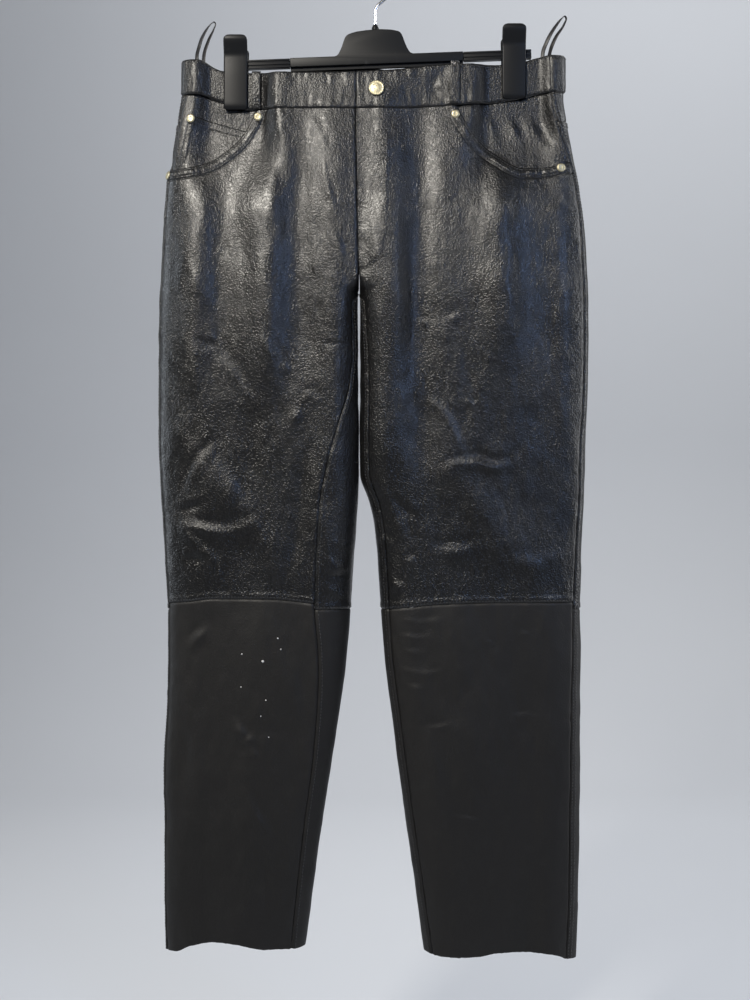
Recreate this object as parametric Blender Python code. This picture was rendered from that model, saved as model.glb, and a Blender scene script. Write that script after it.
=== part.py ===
"""Leather trousers held by the waistband on a clip hanger, at real size.

The cloth is built from one skin: a chart of level sections through each leg, read from short tables.
A section runs from the centre front (below the crotch, from the inseam) round the outer fold to the
centre back.  Every cut piece is a patch of that skin, given its own wall.  The front faces -Y, and
the wearer's right side is at -X.  The origin is the top of the rail inside the hanger's hook.
Lengths in the tables and functions are in millimetres; meshes are made in metres.
"""

import math

import bmesh
import bpy
import numpy as np

MM = 0.001

# Cloth walls and the gaps between cut pieces
LEATHER = 1.4
CUT_GAP = 0.4
SEAT_GAP = 0.3
BAND_OUT = 1.2
BAND_IN = 1.8
FACING_OUT = {"right": -3.6, "left": -2.4}
FACING_WALL = 1.0
COIN_OUT = -2.0
COIN_WALL = 1.0
UNDERLAP_OUT = -2.2

# Waistband, openings and seams
CROTCH_Z = -385.0
FRONT_FORK_Z = -360.0
BACK_FORK_Z = -346.0
TOP_Z = -100.0
LOW_Z = -1172.0
BACK_KNEE_Z = -757.0
YOKE_SIDE_DROP = 34.0
YOKE_CENTRE_DROP = 62.0

# Columns of the back pieces, and heights of the rows that pieces share at their seams
BACK_COLUMNS = np.linspace(0, 1, 13)
UPPER_LEVELS = (
    -250, -275, -300, -330, -350, -364, -376, -388, -410,
    -450, -490, -530, -570, -604, -640, -690, -735,
)
LOWER_LEVELS = (-772, -800, -860, -920, -980, -1040, -1100)

# Where a clip presses the waist: half depths there, and how far it reaches beside the clip
PINCH_FRONT = 4.2
PINCH_BACK = 3.2
PINCH_REACH = 28.0
PINCH_FADE_TOP = 22.0
PINCH_FADE_LOW = 48.0
PINCH_WIDENS = (150.0, 260.0)
PINCH_ENDS = (176.0, 300.0)

# Pockets and the strip behind the front opening
FACING_DROP = 9.0
FACING_FLOOR_X = 170.0
FACING_FLOOR_DROP = 12.0
COIN_DROP = 6.0
COIN_LEAST_HEIGHT = 14.0
UNDERLAP_REACH = {"right": 16.0, "left": 20.0}
UNDERLAP_TOP = -176.0
UNDERLAP_BOTTOM = -346.0

# Belt loops: side, face, x, half width, top, bottom, and how far their ends stand off the band
BELT_LOOPS = {
    "belt_loop_right": ("right", "front", -138.8, 5.6, -126.0, -170.0, 1.6),
    "belt_loop_left": ("left", "front", 93.3, 5.2, -115.8, -166.0, 0.9),
    "belt_loop_back": ("left", "back", 3.0, 5.4, -118.0, -168.0, 0.9),
}
LOOP_BOW = 2.4
LOOP_WALL = 1.5
LOOP_STEPS = 8

# Ribbon loops
RIBBON_HALF_WIDTH = 2.6
RIBBON_HALF_WALL = 0.5
RIBBON_SEWN_Z = -114.0
RIBBON_LEAVES_Z = -112.0
RIBBON_FREE_Z = -92.0

# Hanger
TILT = math.radians(2.2)
BAR_HEIGHT = 11.0
BAR_DEPTH = 11.0
LIP_HEIGHT = 4.0
LIP_DEPTH = 5.0
BAR_LOW = -116.5
BAR_LEFT = -100.0
BAR_RIGHT = 104.0
ROD_HEIGHT = 10.4
ROD_DROP = 0.6
ROD_TIP = {"right": -176.0, "left": 184.0}
ROD_TIP_CORNER = 3.5
TILT_PIVOT = -112.0
CLIP_X = {"right": -163.7, "left": 163.3}
CLIP_TOP = {"right": -84.5, "left": -71.5}
CLIP_WIDTH = 28.0
CLIP_HEIGHT = 86.0
CLIP_BACK_DROP = 10.0
CLIP_BACK_SHORT = 16.0
CLIP_OPENING = 7.0
CLIP_CORNER = 2.5
JAW_WALL = 3.4
JAW_FRONT = PINCH_FRONT + BAND_OUT + SEAT_GAP
JAW_BACK = PINCH_BACK + BAND_OUT + SEAT_GAP
HOOK_WIRE = 3.8
HOOK_RADIUS = 21.9
HOOK_X = 0.3
COLLAR_TOP = -69.5
COLLAR_BASE = -75.3

RIBBON_SEAT = {"right": 4.0, "left": 2.2}
BUTTON_DIAMETER = 18.0
BUTTON_PLACE = (1.8, -148.5)
METAL_SEAT = 0.4

# Rivets of the front: side, x, z, and how far they stand off the skin
RIVET_DIAMETER = 10.0
RIVETS = {
    "rivet_coin_pocket": ("right", -215.8, -182.3, COIN_OUT + METAL_SEAT),
    "rivet_pocket_top_right": ("right", -135.5, -178.5, 3.1),
    "rivet_pocket_top_left": ("left", 92.0, -176.0, METAL_SEAT),
    "rivet_pocket_side_left": ("left", 217.5, -240.5, METAL_SEAT),
}
EDGE_RIVET_PLACE = (0.985, -247.0)

SIDES = ("right", "left")
OUTWARD = {"right": -1.0, "left": 1.0}


# ---------------------------------------------------------------- tables

def table(names, *rows):
    """Columns of numbers, by name, from rows that run downwards."""
    return {name: np.array(column, float) for name, column in zip(names.split(), zip(*rows))}


def smooth(xs, ys, x):
    """A smooth curve through the points, which never overshoots them."""
    xs, ys = np.asarray(xs, float), np.asarray(ys, float)
    if xs[0] > xs[-1]:
        xs, ys = xs[::-1], ys[::-1]
    step = np.diff(xs)
    slope = np.diff(ys) / step
    tangent = np.zeros(len(xs))
    same_way = slope[:-1] * slope[1:] > 0
    harmonic = 2 * slope[:-1] * slope[1:] / np.where(same_way, slope[:-1] + slope[1:], 1)
    tangent[1:-1] = np.where(same_way, harmonic, 0)
    tangent[0], tangent[-1] = slope[0], slope[-1]
    x = np.clip(x, xs[0], xs[-1])
    i = np.clip(np.searchsorted(xs, x) - 1, 0, len(step) - 1)
    t = (x - xs[i]) / step[i]
    return (
        ys[i] * (1 + 2 * t) * (1 - t) ** 2
        + tangent[i] * step[i] * t * (1 - t) ** 2
        + ys[i + 1] * t * t * (3 - 2 * t)
        + tangent[i + 1] * step[i] * t * t * (t - 1)
    )


def ramp(x, start, end):
    """0 before start and 1 after end, with a smooth step between."""
    t = np.clip((x - start) / (end - start), 0, 1)
    return t * t * (3 - 2 * t)


# The outline of the wearer's right leg.  side is how far the side seam lies in front of the outer
# fold, and inseam how far the front's inner edge lies from the inner fold.
RIGHT_LEG = table(
    "z outer inner side inseam",
    (-100, -227.0, -20.0, 5, 0),
    (-153, -227.0, -20.0, 4, 0),
    (-174, -229.5, -20.0, 3, 0),
    (-221, -236.8, -20.0, 2, 0),
    (-264, -245.5, -20.0, 1, 0),
    (-300, -248.5, -20.0, 1, 0),
    (-337, -250.8, -20.0, 1, 0),
    (-396, -253.2, -19.4, 1, 6),
    (-454, -253.8, -19.2, 1, 6),
    (-498, -254.2, -19.1, 1, 10),
    (-540, -254.3, -19.1, 1, 23),
    (-597, -252.5, -19.2, 1, 39),
    (-634, -250.6, -20.7, 1, 44),
    (-699, -247.3, -25.7, 1, 43),
    (-750, -244.0, -28.5, 1, 42),
    (-808, -243.3, -32.4, 1, 34),
    (-864, -245.0, -39.9, 1, 27),
    (-949, -249.0, -53.2, 1, 21),
    (-1005, -247.8, -61.8, 1, 20),
    (-1096, -247.0, -74.2, 1, 18),
    (-1172, -245.0, -84.0, 1, 15),
)
LEFT_LEG = table(
    "z outer inner side inseam",
    (-100, 224.0, -20.0, 19, 0),
    (-148, 223.5, -20.0, 17, 0),
    (-153, 222.0, -20.0, 16, 0),
    (-186, 226.5, -20.0, 13, 0),
    (-221, 232.8, -20.0, 7, 0),
    (-264, 240.5, -20.0, 4, 0),
    (-297, 245.0, -20.0, 4, 0),
    (-337, 249.0, -20.0, 6, 0),
    (-396, 251.3, -18.4, 6, 5),
    (-454, 251.7, -18.2, 6, 9),
    (-511, 250.7, -18.0, 6, 10),
    (-570, 247.8, -17.8, 7, 10),
    (-600, 247.0, -17.0, 7, 10),
    (-634, 246.2, -5.8, 7, 10),
    (-662, 244.8, -0.2, 8, 10),
    (-698, 243.2, 3.5, 8, 9),
    (-746, 241.9, 6.3, 9, 9),
    (-818, 242.2, 11.5, 11, 9),
    (-885, 241.6, 20.2, 12, 9),
    (-998, 240.6, 34.8, 12, 9),
    (-1099, 239.0, 49.2, 12, 9),
    (-1172, 236.0, 60.0, 12, 9),
)
LEG = {"right": RIGHT_LEG, "left": LEFT_LEG}

# Half depths to the front and the back, and how far in the outer fold starts to round off.
DEPTH = table(
    "z front back outer_round front_round back_round",
    (-100, 12, 12, 26, 30, 10),
    (-160, 14, 14, 30, 30, 10),
    (-220, 19, 20, 38, 30, 10),
    (-300, 24, 27, 52, 30, 10),
    (-385, 27, 29, 60, 18, 10),
    (-450, 26, 28, 60, 28, 13),
    (-600, 24, 25, 58, 34, 20),
    (-750, 22, 23, 54, 38, 30),
    (-950, 20, 21, 48, 40, 34),
    (-1172, 19, 19, 44, 38, 34),
)

# The centre seam at the front and at the back, where the two halves meet.
CENTRE = table(
    "z front back",
    (-100, -22.0, -8.0),
    (-170, -22.0, -9.0),
    (-265, -20.5, -14.0),
    (-360, -19.0, -18.6),
    (-385, -18.8, -18.8),
)

# Heights along the waist: the band's top and the seam below it.
BAND = table(
    "x front_top back_top seam",
    (-260, -112.3, -112.3, -153.2),
    (-207, -112.3, -112.3, -153.4),
    (-180, -125.0, -123.5, -161.0),
    (-144, -127.5, -126.0, -170.2),
    (-95, -127.5, -122.5, -171.0),
    (-55, -127.5, -117.5, -171.0),
    (-10, -126.5, -117.5, -171.2),
    (23, -125.0, -120.0, -170.8),
    (60, -120.5, -119.0, -169.0),
    (93, -118.0, -118.0, -167.2),
    (145, -117.5, -117.0, -161.0),
    (176, -113.5, -113.5, -155.8),
    (190, -109.5, -109.5, -152.6),
    (206, -107.0, -107.0, -150.8),
    (260, -106.4, -106.4, -149.5),
)
SCOOP = {
    "right": table(
        "x z",
        (-260, -242.5),
        (-232, -242.0),
        (-212, -239.0),
        (-192, -232.0),
        (-172, -218.0),
        (-158, -204.0),
        (-149, -190.0),
        (-143, -178.0),
        (-139, -166.0),
    ),
    "left": table(
        "x z",
        (93, -162.0),
        (98, -172.0),
        (105, -185.0),
        (116, -202.0),
        (131, -217.0),
        (146, -227.5),
        (158, -235.5),
        (172, -240.5),
        (200, -239.5),
        (228, -234.0),
        (260, -232.0),
    ),
}
COIN_TOP = table("x z", (-260, -176.0), (-222, -177.5), (-185, -186.0), (-152, -195.0), (-135, -199.0))
KNEE = {
    "right": table(
        "x z", (-260, -751.0), (-216, -747.8), (-190, -744.8), (-125, -745.0), (-71, -750.3), (-20, -758.0)
    ),
    "left": table(
        "x z", (0, -759.5), (14, -757.3), (40, -754.5), (70, -751.6), (128, -749.4), (260, -748.7)
    ),
}
HEM = {
    "right": table(
        "x z",
        (-260, -1157.7),
        (-234, -1157.7),
        (-217, -1150.7),
        (-189, -1145.8),
        (-161, -1148.1),
        (-130, -1154.3),
        (-93, -1154.2),
        (-70, -1150.0),
    ),
    "left": table(
        "x z",
        (50, -1156.5),
        (78, -1162.7),
        (98, -1163.5),
        (122, -1162.1),
        (142, -1158.6),
        (171, -1157.2),
        (212, -1161.5),
        (226, -1166.8),
        (260, -1167.3),
    ),
}

# The middle line of each ribbon loop, and how far it is turned from facing the front, in radians.
RIBBON_ROUTE = {
    "right": table(
        "x z lean",
        (-209.5, -125.0, 0.3),
        (-209.5, -108.0, 0.3),
        (-206.0, -90.0, 0.45),
        (-199.5, -76.0, 0.8),
        (-192.5, -67.2, 1.3),
        (-189.6, -65.9, 1.57),
        (-188.0, -68.4, 1.85),
        (-190.4, -75.0, 2.1),
        (-196.5, -88.0, 2.5),
        (-201.4, -105.0, 2.7),
        (-202.6, -125.0, 2.7),
    ),
    "left": table(
        "x z lean",
        (196.8, -122.0, 0.3),
        (197.6, -104.0, 0.3),
        (203.0, -88.0, 0.4),
        (211.0, -73.5, 0.7),
        (220.4, -61.0, 1.2),
        (223.4, -58.9, 1.57),
        (225.4, -62.0, 1.85),
        (222.2, -70.0, 2.1),
        (213.0, -84.0, 2.5),
        (206.0, -102.0, 2.7),
        (202.4, -122.0, 2.7),
    ),
}

# The raised middle of the hanger, from left to right: x, and height above the bar's top.
HANGER_BODY = (
    (-47, 0), (-42.5, 3), (-38, 12), (-34.5, 21), (-30, 25.4), (-20, 28.2), (-8, 29.4),
    (8, 29.9), (20, 29.0), (28.5, 27.0), (32.5, 23.0), (36, 13), (40, 4), (45, 0),
)

# The largest soft folds: a ridge (or, with a negative height, a trough) from one place to another.
FRONT_FOLDS = table(
    "x0 z0 x1 z1 half_width height",
    (-120, -190, -122, -440, 24, 4.0),
    (-176, -270, -180, -450, 20, -3.0),
    (-88, -270, -86, -440, 18, -3.5),
    (-50, -200, -48, -690, 24, 4.0),
    (-218, -330, -216, -480, 16, 2.0),
    (8, -180, 10, -560, 24, 4.0),
    (54, -190, 56, -560, 20, -3.0),
    (140, -270, 146, -420, 30, 3.0),
    (200, -290, 202, -640, 24, -3.0),
    (-128, -790, -150, -1120, 30, 3.0),
    (-205, -800, -206, -1100, 26, -2.0),
    (-182, -610, -120, -690, 20, 2.5),
    (96, -600, 150, -680, 24, 2.5),
    (90, -800, 120, -1120, 34, 2.5),
    (180, -820, 180, -1120, 28, -2.0),
)
BACK_FOLDS = table(
    "x0 z0 x1 z1 half_width height",
    (-130, -240, -126, -470, 30, 4.0),
    (-70, -300, -60, -520, 22, -3.0),
    (110, -240, 112, -470, 30, 4.0),
    (50, -300, 40, -520, 22, -3.0),
    (-60, -400, -130, -470, 20, 2.5),
    (30, -400, 110, -480, 20, 2.5),
    (-200, -640, -100, -700, 22, 2.5),
    (60, -640, 170, -700, 22, 2.5),
    (-140, -800, -150, -1100, 32, 2.5),
    (130, -800, 140, -1100, 32, 2.5),
)


# ---------------------------------------------------------------- the skin

def relief(folds, x, z):
    """How far the folds stand out of the plain section at each place."""
    total = np.zeros(np.broadcast(x, z).shape)
    for x0, z0, x1, z1, half_width, height in zip(*folds.values()):
        run = np.array([x1 - x0, z1 - z0])
        length = np.hypot(*run)
        along = ((x - x0) * run[0] + (z - z0) * run[1]) / length
        across = ((x - x0) * run[1] - (z - z0) * run[0]) / length
        past = np.maximum(np.maximum(-along, along - length), 0)
        total += height * np.exp(-((across / half_width) ** 2) - (past / (2 * half_width)) ** 2)
    return total


def pinch(x, z):
    """1 where a clip presses the waist flat, falling to 0 away from it and below it."""
    fade = PINCH_FADE_TOP + (PINCH_FADE_LOW - PINCH_FADE_TOP) * ramp(-z, *PINCH_WIDENS)
    beside = 0.0
    for centre in CLIP_X.values():
        beside = beside + 1 - ramp(np.abs(x - centre), PINCH_REACH, PINCH_REACH + fade)
    return np.clip(beside, 0, 1) * (1 - ramp(-z, *PINCH_ENDS))


def half_depth(face, x, z):
    """The distance from the middle plane to the skin, before the ends round off."""
    plain = smooth(DEPTH["z"], DEPTH[face], z)
    flat = PINCH_FRONT if face == "front" else PINCH_BACK
    folds = FRONT_FOLDS if face == "front" else BACK_FOLDS
    pressed = pinch(x, z)
    return plain + (flat - plain) * pressed + relief(folds, x, z) * (1 - pressed)


def inner_fold(side, face, z):
    """(x of the fold, its rounding, distance from it to the edge of the piece) at the inner end."""
    away = OUTWARD[side]
    fork = FRONT_FORK_Z if face == "front" else BACK_FORK_Z

    def read(rows, column):
        return float(smooth(rows["z"], rows[column], z))

    if z >= CROTCH_Z:
        down = min(max((fork - z) / (fork - CROTCH_Z), 0), 1)
        rounding = max(down * read(DEPTH, face + "_round"), 0.01)
        drawn_in = rounding * (1 - down)
        return read(CENTRE, face) + away * (CUT_GAP / 2 - drawn_in), rounding, drawn_in
    inset = read(LEG[side], "inseam") * float(ramp(CROTCH_Z - z, 0, 14))
    return read(LEG[side], "inner"), read(DEPTH, face + "_round"), inset


def face_line(side, face, z, count=150):
    """Points of one face of a section, from its inner fold to its outer one, and distances in."""
    x_in, inner_round, _ = inner_fold(side, face, z)
    x_out = float(smooth(LEG[side]["z"], LEG[side]["outer"], z))
    outer_round = float(smooth(DEPTH["z"], DEPTH["outer_round"], z))
    width = abs(x_out - x_in)
    turn = np.linspace(0, math.pi / 2, count // 4)
    inward = np.concatenate(
        [
            inner_round * (1 - np.cos(turn)),
            np.linspace(inner_round, width - outer_round, count // 2)[1:-1],
            width - outer_round * (1 - np.cos(turn[::-1])),
        ]
    )
    x = x_in + OUTWARD[side] * inward
    near = np.minimum(inward / inner_round, 1), np.minimum((width - inward) / outer_round, 1)
    swell = np.sqrt(np.maximum(1 - (1 - near[0]) ** 2, 0)) * np.sqrt(np.maximum(1 - (1 - near[1]) ** 2, 0))
    y = half_depth(face, x, z) * swell * (-1 if face == "front" else 1)
    return np.stack([x, y], axis=1), inward


def lengths(points):
    """How far along a line each of its points is."""
    steps = np.hypot(*np.diff(points, axis=0).T)
    return np.concatenate([[0], np.cumsum(steps)])


def evened(points, start, end, count, bend=20.0):
    """Points from start to end along the line, closer together where it turns."""
    run = lengths(points)
    heading = np.unwrap(np.arctan2(*np.gradient(points, axis=0).T))
    weight = run + bend * np.concatenate([[0], np.cumsum(np.abs(np.diff(heading)))])
    marks = np.interp([start, end], run, weight)
    at = np.interp(np.linspace(*marks, count), weight, run)
    return np.stack([np.interp(at, run, points[:, i]) for i in (0, 1)], axis=1)


class Skin:
    """The chart of one half: levels down the leg, and even columns across its front or back."""

    def __init__(self, side, face, step=4.0, columns=97):
        self.side, self.face = side, face
        self.z = np.arange(TOP_Z, LOW_Z - step, -step)
        rows = [self.section(z, columns) for z in self.z]
        self.xy = np.array(rows)

    def section(self, z, columns):
        """The half's points along one level section."""
        front, inward = face_line(self.side, "front", z)
        back, back_inward = face_line(self.side, "back", z)
        edge = np.interp(inner_fold(self.side, "front", z)[2], inward, lengths(front))
        to_seam = float(smooth(LEG[self.side]["z"], LEG[self.side]["side"], z))
        seam = np.interp(inward[-1] - to_seam, inward, lengths(front))
        if self.face == "front":
            return evened(front, edge + CUT_GAP / 2, seam - CUT_GAP / 2, columns)
        loop = np.concatenate([front, back[::-1][1:]])
        if z >= CROTCH_Z:
            back_edge = inner_fold(self.side, "back", z)[2]
            end = lengths(loop)[-1] - np.interp(back_edge, back_inward, lengths(back))
        else:
            end = lengths(loop)[-1] + edge
            loop = np.concatenate([loop, front[1:]])
        return evened(loop, seam + CUT_GAP / 2, end - CUT_GAP / 2, columns)

    def point(self, c, z):
        """Where the skin is at column fraction c and height z."""
        columns = self.xy.shape[1] - 1
        row = np.clip((self.z[0] - z) / (self.z[0] - self.z[1]), 0, len(self.z) - 1.001)
        column = np.clip(c * columns, 0, columns - 1e-6)
        i, j = row.astype(int), column.astype(int)
        u, v = (row - i)[..., None], (column - j)[..., None]
        xy = (
            self.xy[i, j] * (1 - u) * (1 - v)
            + self.xy[i + 1, j] * u * (1 - v)
            + self.xy[i, j + 1] * (1 - u) * v
            + self.xy[i + 1, j + 1] * u * v
        )
        return np.concatenate([xy, z[..., None]], axis=-1)

    def normal(self, c, z):
        """The skin's outward direction."""
        across = self.point(np.clip(c + 0.012, 0, 1), z) - self.point(np.clip(c - 0.012, 0, 1), z)
        down = self.point(c, z - 3.0) - self.point(c, z + 3.0)
        out = np.cross(down, across) * OUTWARD[self.side]
        return out / np.linalg.norm(out, axis=-1, keepdims=True)

    def column_at(self, x, z):
        """The column fraction that lies at x on the flat of the face, at height z."""
        fractions = np.linspace(0, 1, 193)
        found = []
        for one_x, one_z in zip(np.ravel(x), np.ravel(z)):
            xs = self.point(fractions, np.full_like(fractions, one_z))[:, 0] * OUTWARD[self.side]
            found.append(np.interp(one_x * OUTWARD[self.side], np.maximum.accumulate(xs), fractions))
        return np.reshape(found, np.shape(x))

    def patch(self, fractions, top, bottom, lead, levels=()):
        """Column fractions and heights of a grid between two edges, each a height for every x.

        The lead rows run from the top edge to the first level, or to the bottom where there is none.
        Pieces that meet at a seam share their levels, so that their cut edges stay parallel.
        """
        fractions = np.asarray(fractions, float)
        c = np.tile(fractions, (lead + len(levels) + 1, 1))
        share = np.linspace(0, 1, lead + 1)[:, None]
        z = np.full_like(c, -400.0)
        for _ in range(12):
            x = self.point(c, z)[..., 0]
            if not len(levels):
                z = top(x) * (1 - share) + bottom(x) * share
                continue
            first = top(x[: lead + 1]) * (1 - share) + levels[0] * share
            rest = np.tile(np.array(levels[1:])[:, None], len(fractions))
            z = np.concatenate([first, rest, bottom(x[-1:])])
        return c, z


SKIN = {(side, face): Skin(side, face) for side in SIDES for face in ("front", "back")}


# ---------------------------------------------------------------- meshes

def material(name, colour, roughness, metallic=0.0):
    """The material of that name, made the first time it is asked for."""
    made = bpy.data.materials.get(name)
    if made:
        return made
    made = bpy.data.materials.new(name)
    made.use_nodes = True
    shader = made.node_tree.nodes["Principled BSDF"]
    shader.inputs["Base Color"].default_value = (*colour, 1)
    shader.inputs["Roughness"].default_value = roughness
    shader.inputs["Metallic"].default_value = metallic
    return made


def leather():
    return material("black_leather", (0.013, 0.013, 0.013), 0.42)


def brass():
    return material("antique_brass", (0.48, 0.36, 0.17), 0.35, 1.0)


def plastic():
    return material("black_plastic", (0.012, 0.012, 0.013), 0.38)


def ribbon():
    return material("black_satin", (0.01, 0.01, 0.011), 0.5)


def steel():
    return material("bright_steel", (0.75, 0.75, 0.77), 0.18, 1.0)


def place(name, mesh, look):
    """Put a mesh into the scene under its name."""
    obj = bpy.data.objects.new(name, mesh)
    bpy.context.scene.collection.objects.link(obj)
    mesh.materials.append(look)
    return obj


def solid(name, points, faces, look, smooth_angle=40.0):
    """A closed mesh with its faces turned outwards, from points in millimetres."""
    mesh = bpy.data.meshes.new(name)
    mesh.from_pydata([tuple(p) for p in np.asarray(points) * MM], [], faces)
    shape = bmesh.new()
    shape.from_mesh(mesh)
    bmesh.ops.recalc_face_normals(shape, faces=shape.faces)
    shape.to_mesh(mesh)
    shape.free()
    mesh.shade_smooth()
    mesh.set_sharp_from_angle(angle=math.radians(smooth_angle))
    return place(name, mesh, look)


def wall(name, outer, inner, look):
    """A sheet with thickness, from the two grids of its outer and inner surfaces."""
    rows, columns = outer.shape[:2]
    points = np.concatenate([outer.reshape(-1, 3), inner.reshape(-1, 3)])
    index = np.arange(rows * columns).reshape(rows, columns)
    back = index + rows * columns
    faces = []
    for r in range(rows - 1):
        for c in range(columns - 1):
            faces.append((index[r, c], index[r, c + 1], index[r + 1, c + 1], index[r + 1, c]))
            faces.append((back[r, c], back[r + 1, c], back[r + 1, c + 1], back[r, c + 1]))
    rim = [*index[0], *index[1:, -1], *index[-1, -2::-1], *index[-2:0:-1, 0]]
    under = [*back[0], *back[1:, -1], *back[-1, -2::-1], *back[-2:0:-1, 0]]
    for i in range(len(rim)):
        j = (i + 1) % len(rim)
        faces.append((rim[i], under[i], under[j], rim[j]))
    return solid(name, points, [tuple(int(k) for k in f) for f in faces], look)


def sheet_grids(skin, c, z, out, thickness):
    """Outer and inner grids of a sheet whose outer side stands out from the skin."""
    p, n = skin.point(c, z), skin.normal(c, z)
    return p + n * out, p + n * (out - thickness)


def panel(name, side, face, fractions, top, bottom, lead, levels=(), out=0.0, thickness=LEATHER):
    """A cut piece lying on the skin."""
    skin = SKIN[side, face]
    c, z = skin.patch(fractions, top, bottom, lead, levels)
    return wall(name, *sheet_grids(skin, c, z, out, thickness), leather())


def edge(rows, column="z", shift=0.0):
    """A function that gives a table's height at each x, moved up by shift."""
    return lambda x: smooth(rows["x"], rows[column], x) + shift


def seam_above(rows, column="z"):
    """The lower edge of the piece above a seam."""
    return edge(rows, column, CUT_GAP / 2)


def seam_below(rows, column="z"):
    """The upper edge of the piece below a seam."""
    return edge(rows, column, -CUT_GAP / 2)


# ---------------------------------------------------------------- cut pieces

def front_top(side):
    """The front's upper edge: the waist seam, then the scoop of the pocket."""
    seam, scoop = seam_below(BAND, "seam"), edge(SCOOP[side])
    start = SCOOP[side]["x"][-1 if side == "right" else 0]

    def height(x):
        outside = (np.asarray(x) - start) * OUTWARD[side] > 0
        return np.where(outside, np.minimum(seam(x), scoop(x)), seam(x))

    return height


def front_columns(side, plain=7, scooped=8):
    """Column fractions with one edge at the pocket's start and more beside the scoop."""
    start = SCOOP[side]["x"][-1 if side == "right" else 0]
    turn = float(SKIN[side, "front"].column_at(start, -172.0))
    beyond = np.linspace(0, 1, scooped + 1)[1:] ** 1.15
    return np.concatenate([np.linspace(0, turn, plain), turn + (1 - turn) * beyond])


def make_front(side):
    """The front above the knee seam, and the front below it."""
    top, knee, hem = front_top(side), KNEE[side], edge(HEM[side])
    columns, even = front_columns(side), np.linspace(0, 1, 11)
    panel(f"front_upper_{side}", side, "front", columns, top, seam_above(knee), 3, UPPER_LEVELS)
    panel(f"front_lower_{side}", side, "front", even, seam_below(knee), hem, 1, LOWER_LEVELS)


def yoke_seam(side):
    """The yoke's lower edge, deeper at the centre back than at the side."""

    def height(x):
        centre = CENTRE["back"][0]
        outer = LEG[side]["outer"][0]
        share = np.clip((np.asarray(x) - centre) / (outer - centre), 0, 1)
        drop = YOKE_CENTRE_DROP + (YOKE_SIDE_DROP - YOKE_CENTRE_DROP) * share
        return smooth(BAND["x"], BAND["seam"], x) - drop

    return height


def raised(height, by):
    """A function that gives another one's heights, moved up."""
    return lambda x: height(x) + by


def level(height):
    """A function that gives the same height everywhere."""
    return lambda x: np.full(np.shape(x), height)


def make_back(side):
    """The yoke, the back above the knee seam, and the back below it."""
    yoke, gap, columns = yoke_seam(side), CUT_GAP / 2, BACK_COLUMNS
    panel(f"yoke_{side}", side, "back", columns, seam_below(BAND, "seam"), raised(yoke, gap), 2)
    top, bottom = raised(yoke, -gap), level(BACK_KNEE_Z + gap)
    panel(f"back_upper_{side}", side, "back", columns, top, bottom, 3, UPPER_LEVELS)
    top, bottom = level(BACK_KNEE_Z - gap), edge(HEM[side])
    panel(f"back_lower_{side}", side, "back", columns, top, bottom, 1, LOWER_LEVELS)


def joined(right, left):
    """The grids of two halves as one, sharing the column where they meet."""
    halves = zip(right, left)
    return [
        np.concatenate([a[:, :-1], (a[:, -1:] + b[:, :1]) / 2, b[:, 1:]], axis=1) for a, b in halves
    ]


def make_waistband():
    """The band's two fronts, and its back in one length."""
    thickness = BAND_OUT + BAND_IN
    bottom = seam_above(BAND, "seam")
    for side in SIDES:
        panel(
            f"waistband_front_{side}", side, "front", front_columns(side),
            edge(BAND, "front_top"), bottom, 2, (), BAND_OUT, thickness,
        )
    halves = []
    for side in SIDES:
        skin = SKIN[side, "back"]
        c, z = skin.patch(BACK_COLUMNS, edge(BAND, "back_top"), bottom, 2)
        grids = sheet_grids(skin, c, z, BAND_OUT, thickness)
        halves.append(grids if side == "right" else [grid[:, ::-1] for grid in grids])
    wall("waistband_back", *joined(*halves), leather())


def facing_bottom(side):
    """The facing's lower edge, a little below the scoop and level under its deepest part."""
    scoop = edge(SCOOP[side], shift=-FACING_DROP)
    floor = float(edge(SCOOP[side], shift=-FACING_FLOOR_DROP)(OUTWARD[side] * FACING_FLOOR_X))
    return lambda x: np.maximum(scoop(x), floor)


def coin_bottom(x):
    """The coin pocket's lower edge, under the scoop and never too near its own top."""
    under_scoop = edge(SCOOP["right"], shift=-COIN_DROP)(x)
    return np.minimum(under_scoop, edge(COIN_TOP, shift=-COIN_LEAST_HEIGHT)(x))


def make_pockets():
    """The facing behind each scoop, and the coin pocket on the right one."""
    for side in SIDES:
        fractions = front_columns(side)[6:]
        panel(
            f"pocket_facing_{side}", side, "front", fractions, seam_below(BAND, "seam"),
            facing_bottom(side), 4, (), FACING_OUT[side], FACING_WALL,
        )
    panel(
        "coin_pocket", "right", "front", front_columns("right")[7:14], edge(COIN_TOP),
        coin_bottom, 3, (), COIN_OUT, COIN_WALL,
    )


def make_underlap():
    """The strip behind the front opening, from the band's seam to the fork."""
    halves = []
    z = np.linspace(UNDERLAP_TOP, UNDERLAP_BOTTOM, 6)[:, None] * np.ones((1, 3))
    for side in SIDES:
        skin = SKIN[side, "front"]
        reach = OUTWARD[side] * UNDERLAP_REACH[side]
        x = smooth(CENTRE["z"], CENTRE["front"], z) + reach * np.linspace(1, 0, 3)
        grids = sheet_grids(skin, skin.column_at(x, z), z, UNDERLAP_OUT, FACING_WALL)
        halves.append(grids if side == "right" else [grid[:, ::-1] for grid in grids])
    wall("fly_underlap", *joined(*halves), leather())


def across_the_back(skin, x, z):
    """Points of the back's skin at the given places, and their directions straight out."""
    fractions = np.linspace(0, 1, 193)
    points = np.empty((*x.shape, 3))
    for i in range(len(x)):
        line = skin.point(fractions, np.full_like(fractions, z[i, 0]))
        line = line[line[:, 1] > 0]
        line = line[np.argsort(line[:, 0])]
        points[i] = np.stack([x[i], np.interp(x[i], line[:, 0], line[:, 1]), z[i]], axis=1)
    return points, np.zeros_like(points) + (0.0, 1.0, 0.0)


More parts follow.
